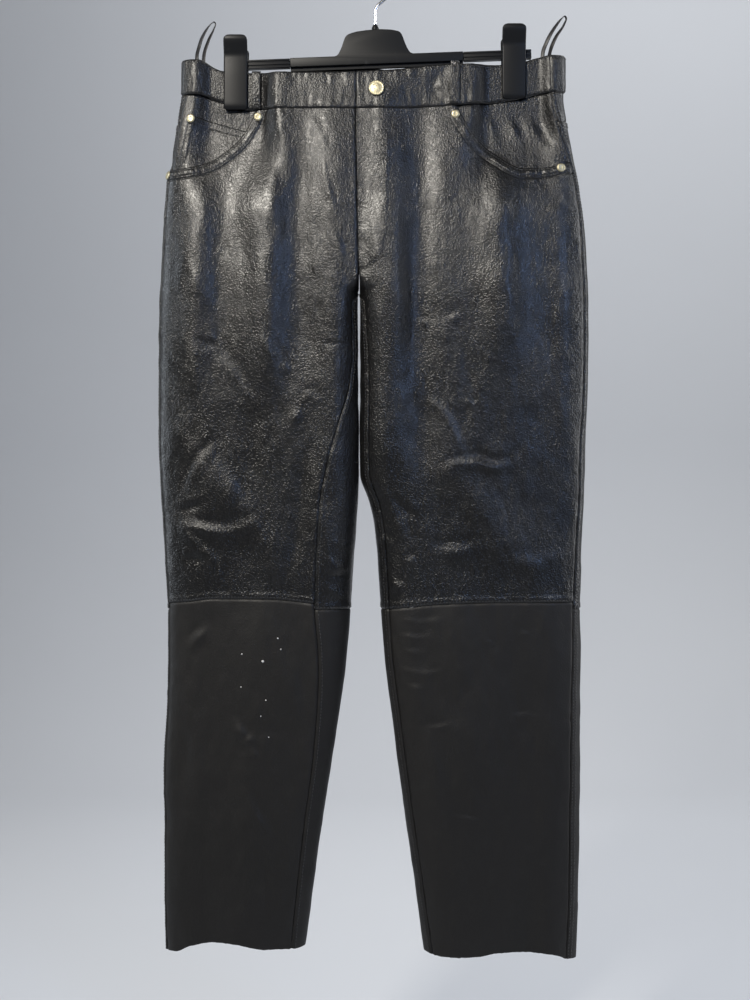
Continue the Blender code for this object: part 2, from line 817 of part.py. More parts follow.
def strip_on_band(name, side, face, x, half_width, top, bottom, stand):
    """A belt loop: a narrow strip standing off the band, sewn down at both ends."""
    skin = SKIN[side, face]
    z = np.linspace(top, bottom, LOOP_STEPS + 1)[:, None] * np.ones((1, 3))
    across = x + half_width * np.linspace(-1, 1, 3) * np.ones((LOOP_STEPS + 1, 1))
    if face == "front":
        c = skin.column_at(across, z)
        p, n = skin.point(c, z), skin.normal(c, z)
    else:
        p, n = across_the_back(skin, across, z)
    share = np.linspace(0, 1, LOOP_STEPS + 1)[:, None, None]
    lift = BAND_OUT + stand + LOOP_BOW * np.sin(math.pi * share) ** 0.5
    wall(name, p + n * (lift + LOOP_WALL), p + n * lift, leather())


def make_belt_loops():
    """The two loops at the front, and the one at the centre back."""
    for name, dimensions in BELT_LOOPS.items():
        strip_on_band(name, *dimensions)


def make_hanging_loops():
    """Ribbon loops sewn inside the band at the side seams: up one strand, over, and down the other."""
    for side in SIDES:
        route = RIBBON_ROUTE[side]
        stations = np.arange(len(route["x"]))
        t = np.linspace(0, stations[-1], 25)
        x, z, lean = (smooth(stations, route[column], t) for column in ("x", "z", "lean"))
        inset = -BAND_IN - RIBBON_SEAT[side]
        sewn = np.minimum(z, RIBBON_SEWN_Z)
        seats = np.array([on_skin(side, "front", a, b, inset)[0][1] for a, b in zip(x, sewn)])
        y = seats * (1 - ramp(z, RIBBON_LEAVES_Z, RIBBON_FREE_Z))
        path = np.stack([x, y, z], axis=1)
        tangent = np.gradient(path, axis=0)
        tangent /= np.linalg.norm(tangent, axis=1, keepdims=True)
        in_plane = np.cross(tangent, (0, 1, 0))
        wide = in_plane * np.cos(lean)[:, None] + np.array((0, 1, 0)) * np.sin(lean)[:, None]
        edges = np.stack([path - RIBBON_HALF_WIDTH * wide, path + RIBBON_HALF_WIDTH * wide], axis=1)
        thick = RIBBON_HALF_WALL * np.cross(wide, tangent)[:, None]
        made = wall(f"hanging_loop_{side}", edges + thick, edges - thick, ribbon())
        made.data.shade_smooth()


# ---------------------------------------------------------------- metal trim

def turned(name, profile, centre, axis, look, sides=14):
    """A round piece from (radius, height) pairs, standing along its axis."""
    axis = np.asarray(axis, float) / np.linalg.norm(axis)
    first = np.cross(axis, (0, 0, 1.0))
    first /= np.linalg.norm(first)
    second = np.cross(axis, first)
    points, faces = [], []
    for radius, height in profile:
        for k in range(sides):
            angle = 2 * math.pi * k / sides
            spoke = first * math.cos(angle) + second * math.sin(angle)
            points.append(np.asarray(centre) + axis * height + spoke * radius)
    for i in range(len(profile) - 1):
        for k in range(sides):
            j = (k + 1) % sides
            faces.append((i * sides + k, i * sides + j, (i + 1) * sides + j, (i + 1) * sides + k))
    faces.append(tuple(range(sides)))
    faces.append(tuple(range((len(profile) - 1) * sides, len(profile) * sides)))
    return solid(name, points, faces, look)


def on_skin(side, face, x, z, out):
    """A place on the flat of a face, and the direction out of it."""
    skin = SKIN[side, face]
    c = skin.column_at(np.array([x]), np.array([z]))
    at = np.array([float(z)])
    normal = skin.normal(c, at)[0]
    return skin.point(c, at)[0] + normal * out, normal


def make_button():
    """The waist button: a shank and a rimmed, slightly domed cap."""
    r = BUTTON_DIAMETER / 2
    centre, normal = on_skin("left", "front", *BUTTON_PLACE, BAND_OUT + METAL_SEAT)
    shank = [(r * 0.5, 0), (r * 0.5, 1.4)]
    rim = [(r * 0.93, 1.6), (r, 2.2), (r, 2.9), (r * 0.9, 3.5), (r * 0.78, 3.3)]
    dome = [(r * 0.55, 3.7), (r * 0.2, 4.0)]
    turned("waist_button", shank + rim + dome, centre, normal, brass(), 18)


def make_rivets():
    """The rivets on the pockets; the last sits on the outer fold, at the end of its scoop."""
    r = RIVET_DIAMETER / 2
    profile = [(r * 0.95, 0), (r, 0.5), (r * 0.86, 1.3), (r * 0.5, 1.9), (r * 0.35, 2.0)]
    for name, (side, x, z, out) in RIVETS.items():
        centre, normal = on_skin(side, "front", x, z, out)
        turned(name, profile, centre, normal, brass())
    skin = SKIN["right", "front"]
    c, z = (np.array([value]) for value in EDGE_RIVET_PLACE)
    normal = skin.normal(c, z)[0]
    centre = skin.point(c, z)[0] + normal * METAL_SEAT
    turned("rivet_pocket_side_right", profile, centre, normal, brass())


# ---------------------------------------------------------------- hanger

def tilted(points):
    """Turn points of the hanger's own frame by its lean, about the hook's shank."""
    p = np.asarray(points, float)
    x, z = p[:, 0] - HOOK_X, p[:, 2] - TILT_PIVOT
    cos, sin = math.cos(TILT), math.sin(TILT)
    return np.stack([HOOK_X + x * cos - z * sin, p[:, 1], TILT_PIVOT + x * sin + z * cos], axis=1)


def extruded(name, outline, depth, y, look, bevel=0.8):
    """A plate of the given outline in the hanger's frame, its edges eased."""
    outline = np.asarray(outline, float)
    count = len(outline)
    front = np.column_stack([outline[:, 0], np.full(count, y - depth / 2), outline[:, 1]])
    back = front + (0, depth, 0)
    faces = [tuple(range(count)), tuple(range(count, 2 * count))[::-1]]
    faces += [(i, (i + 1) % count, count + (i + 1) % count, count + i) for i in range(count)]
    obj = solid(name, tilted(np.concatenate([front, back])), faces, look)
    if bevel:
        ease = obj.modifiers.new("eased_edges", "BEVEL")
        ease.width, ease.segments, ease.limit_method = bevel * MM, 1, "ANGLE"
        ease.angle_limit = math.radians(50)
    return obj


def bar_outline():
    """The bar with the raised body at its middle, clockwise from the bar's lower left."""
    high = BAR_LOW + BAR_HEIGHT
    body = [(x, high + rise) for x, rise in HANGER_BODY]
    return [(BAR_LEFT, BAR_LOW), (BAR_LEFT, high), *body, (BAR_RIGHT, high), (BAR_RIGHT, BAR_LOW)]


def rod_outline(inner, tip, low, high):
    """A rod seen from the front, from its inner end to its tip and back, the tip's corners cut off."""
    corner = ROD_TIP_CORNER
    short = tip + math.copysign(corner, inner - tip)
    tip_side = [(short, high), (tip, high - corner), (tip, low + corner), (short, low)]
    return [(inner, low), (inner, high), *tip_side]


def make_hanger():
    """The bar with its raised middle and lower lip, and the rods that carry the clips."""
    body = extruded("hanger_body", bar_outline(), BAR_DEPTH, 0, plastic(), 1.0)
    low, high = BAR_LOW - LIP_HEIGHT, BAR_LOW + LIP_HEIGHT / 2
    outline = [(BAR_LEFT, low), (BAR_LEFT, high), (BAR_RIGHT, high), (BAR_RIGHT, low)]
    lip = extruded("hanger_lip_form", outline, LIP_DEPTH, 1.0, plastic(), 0)
    lip.hide_render, lip.display_type = True, "WIRE"
    join = body.modifiers.new("lower_lip", "BOOLEAN")
    join.operation, join.object = "UNION", lip
    top = BAR_LOW + BAR_HEIGHT - ROD_DROP
    depth, middle = JAW_FRONT + JAW_BACK - 2 * SEAT_GAP, (JAW_BACK - JAW_FRONT) / 2
    for side, bar_end in (("right", BAR_LEFT), ("left", BAR_RIGHT)):
        inner = bar_end + OUTWARD[side] * SEAT_GAP
        outline = rod_outline(inner, ROD_TIP[side], top - ROD_HEIGHT, top)
        extruded(f"hanger_rod_{side}", outline, depth, middle, plastic(), 0.8)


def make_clips():
    """Two flat jaws a clip, close on the band below and open above the rod."""
    for side in SIDES:
        make_jaw(side, "front", -1, JAW_FRONT, CLIP_TOP[side], CLIP_HEIGHT, CLIP_WIDTH / 2)
        drop, short = CLIP_BACK_DROP, CLIP_BACK_SHORT
        half = CLIP_WIDTH / 2 + SEAT_GAP
        make_jaw(side, "back", 1, JAW_BACK, CLIP_TOP[side] - drop, CLIP_HEIGHT - short, half)


def make_jaw(side, face, sign, inner, top, height, half):
    """One jaw of a clip: its section down the middle, spread to its width with eased corners."""
    opened = inner + CLIP_OPENING
    profile = table(
        "down inner wall",
        (0, opened, 2.6),
        (5, opened - 0.6, JAW_WALL),
        (16, inner + 2.4, JAW_WALL),
        (23, inner, JAW_WALL),
        (46, inner, JAW_WALL + 0.4),
        (height - 5, inner, JAW_WALL + 0.2),
        (height, inner, 2.0),
    )
    straight = [half] * (len(profile["down"]) - 2)
    spread = [half - CLIP_CORNER - 2.0, *straight, half - CLIP_CORNER]
    outer, inside = [], []
    for down, gap, thick, reach in zip(*profile.values(), spread):
        xs = CLIP_X[side] + np.array([-reach, -reach + CLIP_CORNER, reach - CLIP_CORNER, reach])
        ease = (0.9, 0, 0, 0.9)
        outer.append([(x, sign * (gap + thick - e), top - down) for x, e in zip(xs, ease)])
        inside.append([(x, sign * gap, top - down) for x in xs])
    made = wall(f"clip_{side}_{face}", np.array(outer), np.array(inside), plastic())
    made.data.set_sharp_from_angle(angle=math.radians(28))


def hook_route():
    """The wire's middle line: up the shank, out to one side, over the rail and down to the tip."""
    centre = HOOK_WIRE / 2 - HOOK_RADIUS
    shank = [(HOOK_X, COLLAR_TOP + SEAT_GAP), (HOOK_X, -62.0), (HOOK_X, -54.0)]
    bend = [(HOOK_X + 2.2, -47.5), (HOOK_X + 7.6, -42.2)]
    angles = np.radians(np.arange(-45, 206, 25))
    across = HOOK_X + HOOK_RADIUS * np.cos(angles)
    up = centre + HOOK_RADIUS * np.sin(angles)
    points = np.array([*shank, *bend, *zip(across, up)])
    t = np.linspace(0, len(points) - 1, 44)
    return [smooth(np.arange(len(points)), points[:, k], t) for k in (0, 1)]


def make_hook():
    """The wire hook, and the collar that it turns in."""
    xs, zs = hook_route()
    curve = bpy.data.curves.new("hook", "CURVE")
    curve.dimensions = "3D"
    curve.bevel_depth = HOOK_WIRE / 2 * MM
    curve.bevel_resolution = 2
    curve.use_fill_caps = True
    line = curve.splines.new("POLY")
    line.points.add(len(xs) - 1)
    for point, x, z in zip(line.points, xs, zs):
        point.co = (x * MM, 0, z * MM, 1)
    curve.materials.append(steel())
    bpy.context.scene.collection.objects.link(bpy.data.objects.new("hook", curve))
    height = COLLAR_TOP - COLLAR_BASE - SEAT_GAP
    profile = [(4.2, 0), (4.2, 3.0), (3.2, height), (1.0, height)]
    turned("hook_collar", profile, (HOOK_X, 0, COLLAR_BASE), (0.0, 0.0001, 1), plastic(), 16)


def main():
    """Make every piece."""
    for obj in list(bpy.data.objects):
        bpy.data.objects.remove(obj)
    for side in SIDES:
        make_front(side)
        make_back(side)
    make_waistband()
    make_pockets()
    make_underlap()
    make_belt_loops()
    make_hanging_loops()
    make_button()
    make_rivets()
    make_hanger()
    make_clips()
    make_hook()


main()
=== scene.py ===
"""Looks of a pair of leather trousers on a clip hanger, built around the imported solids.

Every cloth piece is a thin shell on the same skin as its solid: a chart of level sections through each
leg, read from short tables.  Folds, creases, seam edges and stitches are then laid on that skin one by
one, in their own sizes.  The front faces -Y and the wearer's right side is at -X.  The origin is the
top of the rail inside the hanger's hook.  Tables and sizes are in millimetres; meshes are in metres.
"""

import sys
import logging
import math
from collections.abc import Callable, Mapping, Sequence
from dataclasses import dataclass, field
from enum import Enum

import bmesh
import bpy
import numpy as np
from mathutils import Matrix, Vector
from mathutils.bvhtree import BVHTree


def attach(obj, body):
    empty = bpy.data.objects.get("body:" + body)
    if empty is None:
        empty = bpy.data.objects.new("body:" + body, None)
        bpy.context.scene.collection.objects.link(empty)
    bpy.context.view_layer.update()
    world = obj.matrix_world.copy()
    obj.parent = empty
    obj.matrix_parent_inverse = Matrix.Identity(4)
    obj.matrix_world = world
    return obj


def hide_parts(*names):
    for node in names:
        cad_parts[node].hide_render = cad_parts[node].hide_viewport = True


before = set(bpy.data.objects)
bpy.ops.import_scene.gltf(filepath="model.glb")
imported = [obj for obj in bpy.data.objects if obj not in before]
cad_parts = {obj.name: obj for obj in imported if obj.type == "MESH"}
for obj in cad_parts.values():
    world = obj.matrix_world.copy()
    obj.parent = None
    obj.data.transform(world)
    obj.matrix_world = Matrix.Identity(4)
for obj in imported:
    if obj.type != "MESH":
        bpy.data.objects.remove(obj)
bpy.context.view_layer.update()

LOG = logging.getLogger("trousers")
MM = 0.001

Array = np.ndarray
Piece = bpy.types.Object
Material = bpy.types.Material
Columns = dict[str, Array]
Height = Callable[[Array], Array]
Triple = tuple[float, float, float]


class Side(Enum):
    """The wearer's two sides."""

    RIGHT = "right"
    LEFT = "left"

    @property
    def outward(self) -> float:
        """The sign of x on this side."""
        return -1.0 if self is Side.RIGHT else 1.0


class Face(Enum):
    """The two faces of a leg."""

    FRONT = "front"
    BACK = "back"


class Slot(Enum):
    """Material slots named in the part's record."""

    LEATHER = "leather"
    RIBBON = "ribbon"
    BRASS = "brass"
    PLASTIC = "hanger_plastic"
    WIRE = "hook_wire"

    @property
    def suffix(self) -> str:
        """What a piece that stands for a solid adds to the solid's name."""
        return {"leather": "hide", "brass": "metal", "hanger_plastic": "moulding"}.get(self.value, self.value)


class Edge(Enum):
    """The four edges of a cut piece, start and end being the first and last columns."""

    START = "start"
    END = "end"
    TOP = "top"
    BOTTOM = "bottom"


# ---------------------------------------------------------------- tables of the cut


def table(names: str, *rows: Sequence[float]) -> Columns:
    """Columns of numbers, by name, from rows that run downwards."""
    return {name: np.array(column, float) for name, column in zip(names.split(), zip(*rows))}


def smooth(xs: Array, ys: Array, x: Array | float) -> Array:
    """A smooth curve through points, which never overshoots them.

    Args:
        xs: Where the points lie, rising or falling.
        ys: Their values.
        x: Where the curve is read.

    Returns:
        The curve's values.
    """
    xs, ys = np.asarray(xs, float), np.asarray(ys, float)
    if xs[0] > xs[-1]:
        xs, ys = xs[::-1], ys[::-1]
    step = np.diff(xs)
    slope = np.diff(ys) / step
    tangent = np.zeros(len(xs))
    same_way = slope[:-1] * slope[1:] > 0
    harmonic = 2 * slope[:-1] * slope[1:] / np.where(same_way, slope[:-1] + slope[1:], 1)
    tangent[1:-1] = np.where(same_way, harmonic, 0)
    tangent[0], tangent[-1] = slope[0], slope[-1]
    x = np.clip(x, xs[0], xs[-1])
    i = np.clip(np.searchsorted(xs, x) - 1, 0, len(step) - 1)
    t = (x - xs[i]) / step[i]
    return (
        ys[i] * (1 + 2 * t) * (1 - t) ** 2
        + tangent[i] * step[i] * t * (1 - t) ** 2
        + ys[i + 1] * t * t * (3 - 2 * t)
        + tangent[i + 1] * step[i] * t * t * (t - 1)
    )


def ramp(x: Array | float, start: float, end: float) -> Array:
    """0 before start and 1 after end, with a smooth step between."""
    t = np.clip((x - start) / (end - start), 0, 1)
    return t * t * (3 - 2 * t)


def bell(x: Array, width: float) -> Array:
    """1 at 0, falling to nothing within about two widths."""
    return np.exp(-((x / width) ** 2))


def unit(vectors: Array) -> Array:
    """The same directions, with a length of 1."""
    return vectors / np.linalg.norm(vectors, axis=-1, keepdims=True)


def look_up(rows: Columns, column: str, where: Array | float) -> Array:
    """A table's column, smooth between its rows, read at values of its first column."""
    return smooth(next(iter(rows.values())), rows[column], where)


def edge(rows: Columns, column: str = "z", shift: float = 0.0) -> Height:
    """A function that gives a table's height at each x, moved up by shift."""
    return lambda x: look_up(rows, column, x) + shift


LEG = {
    Side.RIGHT: table(
        "z outer inner side inseam",
        (-100, -227, -20, 5, 0), (-153, -227, -20, 4, 0), (-174, -229.5, -20, 3, 0),
        (-221, -236.8, -20, 2, 0), (-237, -238.8, -20, 1, 0), (-248, -243.8, -20, 1, 0),
        (-264, -245.8, -20, 1, 0), (-300, -248.5, -20, 1, 0), (-337, -250.8, -20, 1, 0),
        (-396, -253.2, -19.4, 1, 6), (-454, -253.8, -19.2, 1, 6), (-498, -254.2, -19.1, 1, 10),
        (-540, -254.3, -19.1, 1, 23), (-597, -252.5, -19.2, 1, 39), (-634, -250.6, -20.7, 1, 44),
        (-699, -247.3, -25.7, 1, 43), (-750, -244, -28.5, 1, 42), (-808, -243.3, -32.4, 1, 34),
        (-864, -245, -39.9, 1, 27), (-949, -249, -53.2, 1, 21), (-1005, -247.8, -61.8, 1, 20),
        (-1096, -247, -74.2, 1, 18), (-1172, -245, -84, 1, 15),
    ),
    Side.LEFT: table(
        "z outer inner side inseam",
        (-100, 224, -20, 19, 0), (-148, 223.5, -20, 17, 0), (-153, 222, -20, 16, 0),
        (-186, 226.5, -20, 13, 0), (-221, 232.8, -20, 7, 0), (-264, 240.5, -20, 4, 0),
        (-297, 245, -20, 4, 0), (-337, 249, -20, 6, 0), (-396, 251.3, -18.4, 6, 5),
        (-454, 251.7, -18.2, 6, 9), (-511, 250.7, -18, 6, 10), (-570, 247.8, -17.8, 7, 10),
        (-600, 247, -17, 7, 10), (-634, 246.2, -5.8, 7, 10), (-662, 244.8, -0.2, 8, 10),
        (-698, 243.2, 3.5, 8, 9), (-746, 241.9, 6.3, 9, 9), (-818, 242.2, 11.5, 11, 9),
        (-885, 241.6, 20.2, 12, 9), (-998, 240.6, 34.8, 12, 9), (-1099, 239, 49.2, 12, 9),
        (-1172, 236, 60, 12, 9),
    ),
}
DEPTH = table(
    "z front back outer_round front_round back_round",
    (-100, 12, 12, 26, 30, 10), (-160, 14, 14, 30, 30, 10), (-220, 19, 20, 38, 30, 10),
    (-300, 24, 27, 52, 30, 10), (-385, 27, 29, 60, 18, 10), (-450, 26, 28, 60, 28, 13),
    (-600, 24, 25, 58, 34, 20), (-750, 22, 23, 54, 38, 30), (-950, 20, 21, 48, 40, 34),
    (-1172, 19, 19, 44, 38, 34),
)
CENTRE = table(
    "z front back",
    (-100, -22, -8), (-170, -22, -9), (-265, -20.5, -14), (-360, -19, -18.6), (-385, -18.8, -18.8),
)
BAND = table(
    "x front_top back_top seam",
    (-260, -112.3, -112.3, -153.2), (-207, -112.3, -112.3, -153.4), (-180, -125, -123.5, -161),
    (-144, -127.5, -126, -170.2), (-95, -127.5, -122.5, -171), (-55, -127.5, -117.5, -171),
    (-10, -126.5, -117.5, -171.2), (23, -125, -120, -170.8), (60, -120.5, -119, -169),
    (93, -118, -118, -167.2), (145, -117.5, -117, -161), (176, -113.5, -113.5, -155.8),
    (190, -109.5, -109.5, -152.6), (206, -107, -107, -150.8), (260, -106.4, -106.4, -149.5),
)
SCOOP = {
    Side.RIGHT: table(
        "x z",
        (-260, -242.5), (-232, -242), (-212, -239), (-192, -232), (-172, -218), (-158, -204), (-149, -190),
        (-143, -178), (-139, -166),
    ),
    Side.LEFT: table(
        "x z",
        (93, -162), (98, -172), (105, -185), (116, -202), (131, -217), (146, -227.5), (158, -235.5),
        (172, -240.5), (200, -239.5), (228, -234), (260, -232),
    ),
}
COIN_TOP = table("x z", (-260, -176), (-222, -177.5), (-185, -186), (-152, -195), (-135, -199))
KNEE = {
    Side.RIGHT: table(
        "x z",
        (-260, -751), (-216, -747.8), (-190, -744.8), (-125, -745), (-71, -750.3), (-20, -758),
    ),
    Side.LEFT: table(
        "x z",
        (0, -759.5), (14, -757.3), (40, -754.5), (70, -751.6), (128, -749.4), (260, -748.7),
    ),
}
HEM = {
    Side.RIGHT: table(
        "x z",
        (-260, -1157.7), (-234, -1157.7), (-217, -1150.7), (-189, -1145.8), (-161, -1148.1),
        (-130, -1154.3), (-93, -1154.2), (-70, -1150),
    ),
    Side.LEFT: table(
        "x z",
        (50, -1156.5), (78, -1162.7), (98, -1163.5), (122, -1162.1), (142, -1158.6), (171, -1157.2),
        (212, -1161.5), (226, -1166.8), (260, -1167.3),
    ),
}
FLY_STITCH = table(
    "z x",
    (-160, 17.6), (-173, 17.3), (-260, 14.8), (-315, 12.6), (-334, 9.4), (-345, 5), (-353, -2),
    (-360.5, -16),
)


@dataclass(frozen=True)
class Cut:
    """Heights, depths and clearances that the cut pieces share.

    Attributes:
        leather: Wall of a single hide.
        gap: Left between two cut edges at a seam.
        band_out: How far the waistband's outer side stands off the skin.
        band_in: How far its inner side lies below the skin.
        crotch: Height of the crotch.
        front_fork: Where the front halves begin to part.
        back_fork: Where the back halves begin to part.
        back_knee: Height of the knee seam at the back.
        yoke_side: Drop of the yoke at the side seam.
        yoke_centre: Drop of the yoke at the centre back.
    """

    leather: float = 1.4
    gap: float = 0.4
    band_out: float = 1.2
    band_in: float = 1.8
    crotch: float = -385.0
    front_fork: float = -360.0
    back_fork: float = -379.0
    back_knee: float = -757.0
    yoke_side: float = 34.0
    yoke_centre: float = 62.0


@dataclass(frozen=True)
class Press:
    """How the two clips press the waist flat.

    Attributes:
        centres: Where the clips sit along the waist, by side.
        front: Half depth left at the front.
        back: Half depth left at the back.
        reach: How far the pressed part runs beside a clip's middle.
    """

    centres: Mapping[Side, float] = field(default_factory=lambda: {Side.RIGHT: -163.7, Side.LEFT: 163.3})
    front: float = 4.2
    back: float = 3.2
    reach: float = 28.0

    def at(self, x: Array, z: Array) -> Array:
        """1 where a clip presses the waist flat, falling to 0 away from it and below it."""
        width = 22 + 26 * ramp(-z, 150, 260)
        beside = sum(1 - ramp(np.abs(x - at), self.reach, self.reach + width) for at in self.centres.values())
        return np.clip(beside, 0, 1) * (1 - ramp(-z, 176, 300))


CUT = Cut()
PRESS = Press()


# ---------------------------------------------------------------- folds and creases


@dataclass(frozen=True)
class Crease:
    """A ridge, or with a negative height a trough, that follows a line drawn on one face.

    Attributes:
        path: The line's points, as x and z.
        half_width: How far the crease runs to each side.
        height: How far it stands out.
        crisp: 2 for a soft round crease, nearer 1 for one with a sharp crown.
        undercut: Share of the height that the hollow beside it takes, on the path's left.
    """

    path: tuple[tuple[float, float], ...]
    half_width: float
    height: float
    crisp: float
    undercut: float

    REACH, LEFT_SPREAD, HOLLOW_AT, TAPER = 4.5, 1.6, 1.9, 1.1
    KNEE_LEVEL, KEPT_ABOVE, KEPT_BELOW = -755, 0.85, 1.25

    def add(self, x: Array, z: Array, total: Array) -> None:
        """Add the crease's height to a running total.

        Args:
            x: Places across the face.
            z: Their heights.
            total: Flat array that the crease is added to.
        """
        points = np.array(self.path, float)
        reach = self.REACH * self.half_width
        low, high = points.min(axis=0) - reach, points.max(axis=0) + reach
        near = np.flatnonzero((x > low[0]) & (x < high[0]) & (z > low[1]) & (z < high[1]))
        if not len(near):
            return
        px, pz = x[near], z[near]
        runs = np.hypot(*np.diff(points, axis=0).T)
        starts = np.concatenate([[0], np.cumsum(runs)])
        best, side, run = np.full(len(near), 1e9), np.zeros(len(near)), np.zeros(len(near))
        for (x0, z0), (x1, z1), length, begun in zip(points[:-1], points[1:], runs, starts):
            dx, dz = (x1 - x0) / length, (z1 - z0) / length
            along = np.clip((px - x0) * dx + (pz - z0) * dz, 0, length)
            off = np.hypot(px - x0 - along * dx, pz - z0 - along * dz)
            closer = off < best
            best = np.where(closer, off, best)
            side = np.where(closer, (px - x0) * dz - (pz - z0) * dx, side)
            run = np.where(closer, begun + along, run)
        share = run / starts[-1]
        uneven = 0.8 + 0.2 * np.sin(share * 9 + points[0, 0])
        taper = np.sin(math.pi * np.clip(share, 0, 1)) ** self.TAPER * uneven
        signed = np.where(side < 0, -best, best / self.LEFT_SPREAD) / self.half_width
        crown = np.exp(-np.abs(signed) ** self.crisp)
        hollow = bell(signed + self.HOLLOW_AT, 1)
        kept = self.KEPT_BELOW if points[0, 1] < self.KNEE_LEVEL else self.KEPT_ABOVE
        total[near] += kept * self.height * taper * (crown - self.undercut * hollow)


def creases(crisp: float, undercut: float, *rows: Sequence[float]) -> tuple[Crease, ...]:
    """Creases of one kind, from rows of half width and height, then x and z along the path."""
    return tuple(Crease(tuple(zip(row[2::2], row[3::2])), *row[:2], crisp, undercut) for row in rows)


@dataclass(frozen=True)
class Undulation:
    """Seeded smooth unevenness of a hide, in soft cells of one width and height."""

    seed: int
    wide: float
    tall: float

    def at(self, x: Array, z: Array) -> Array:
        """The unevenness at each place, about -1 to 1."""
        size = 64
        cells = np.random.default_rng(self.seed).uniform(-1, 1, (size, size))
        u, v = x / self.wide + 500.3, z / self.tall + 500.7
        i, j = np.floor(u).astype(int), np.floor(v).astype(int)
        s, t = u - i, v - j
        s, t = s**3 * (s * (6 * s - 15) + 10), t**3 * (t * (6 * t - 15) + 10)
        i, j, i1, j1 = i % size, j % size, (i + 1) % size, (j + 1) % size
        upper = cells[i, j] * (1 - s) + cells[i1, j] * s
        return upper * (1 - t) + (cells[i, j1] * (1 - s) + cells[i1, j1] * s) * t


def waver(seed: int, pitch: float, run: Array) -> Array:
    """Unevenness along a line, about -1 to 1."""
    return Undulation(seed, pitch, 900.0).at(run, np.zeros_like(run))


# The large soft folds that the solids have too: x0, z0, x1, z1, half width and height.
FOLDS = {
    Face.FRONT: (
        (-120, -190, -122, -440, 24, 4), (-176, -270, -180, -450, 20, -3), (-88, -270, -86, -440, 18, -3.5),
        (-50, -200, -48, -690, 24, 4), (-218, -330, -216, -480, 16, 2), (8, -180, 10, -560, 24, 4),
        (54, -190, 56, -560, 20, -3), (140, -270, 146, -420, 30, 3), (200, -290, 202, -640, 24, -3),
        (-128, -790, -150, -1120, 30, 3), (-205, -800, -206, -1100, 26, -2),
        (-182, -610, -120, -690, 20, 2.5), (96, -600, 150, -680, 24, 2.5), (90, -800, 120, -1120, 34, 2.5),
        (180, -820, 180, -1120, 28, -2),
    ),
    Face.BACK: (
        (-130, -240, -126, -470, 30, 4), (-70, -300, -60, -520, 22, -3), (110, -240, 112, -470, 30, 4),
        (50, -300, 40, -520, 22, -3), (-60, -400, -130, -470, 20, 2.5), (30, -400, 110, -480, 20, 2.5),
        (-200, -640, -100, -700, 22, 2.5), (60, -640, 170, -700, 22, 2.5),
        (-140, -800, -150, -1100, 32, 2.5), (130, -800, 140, -1100, 32, 2.5),
    ),
}

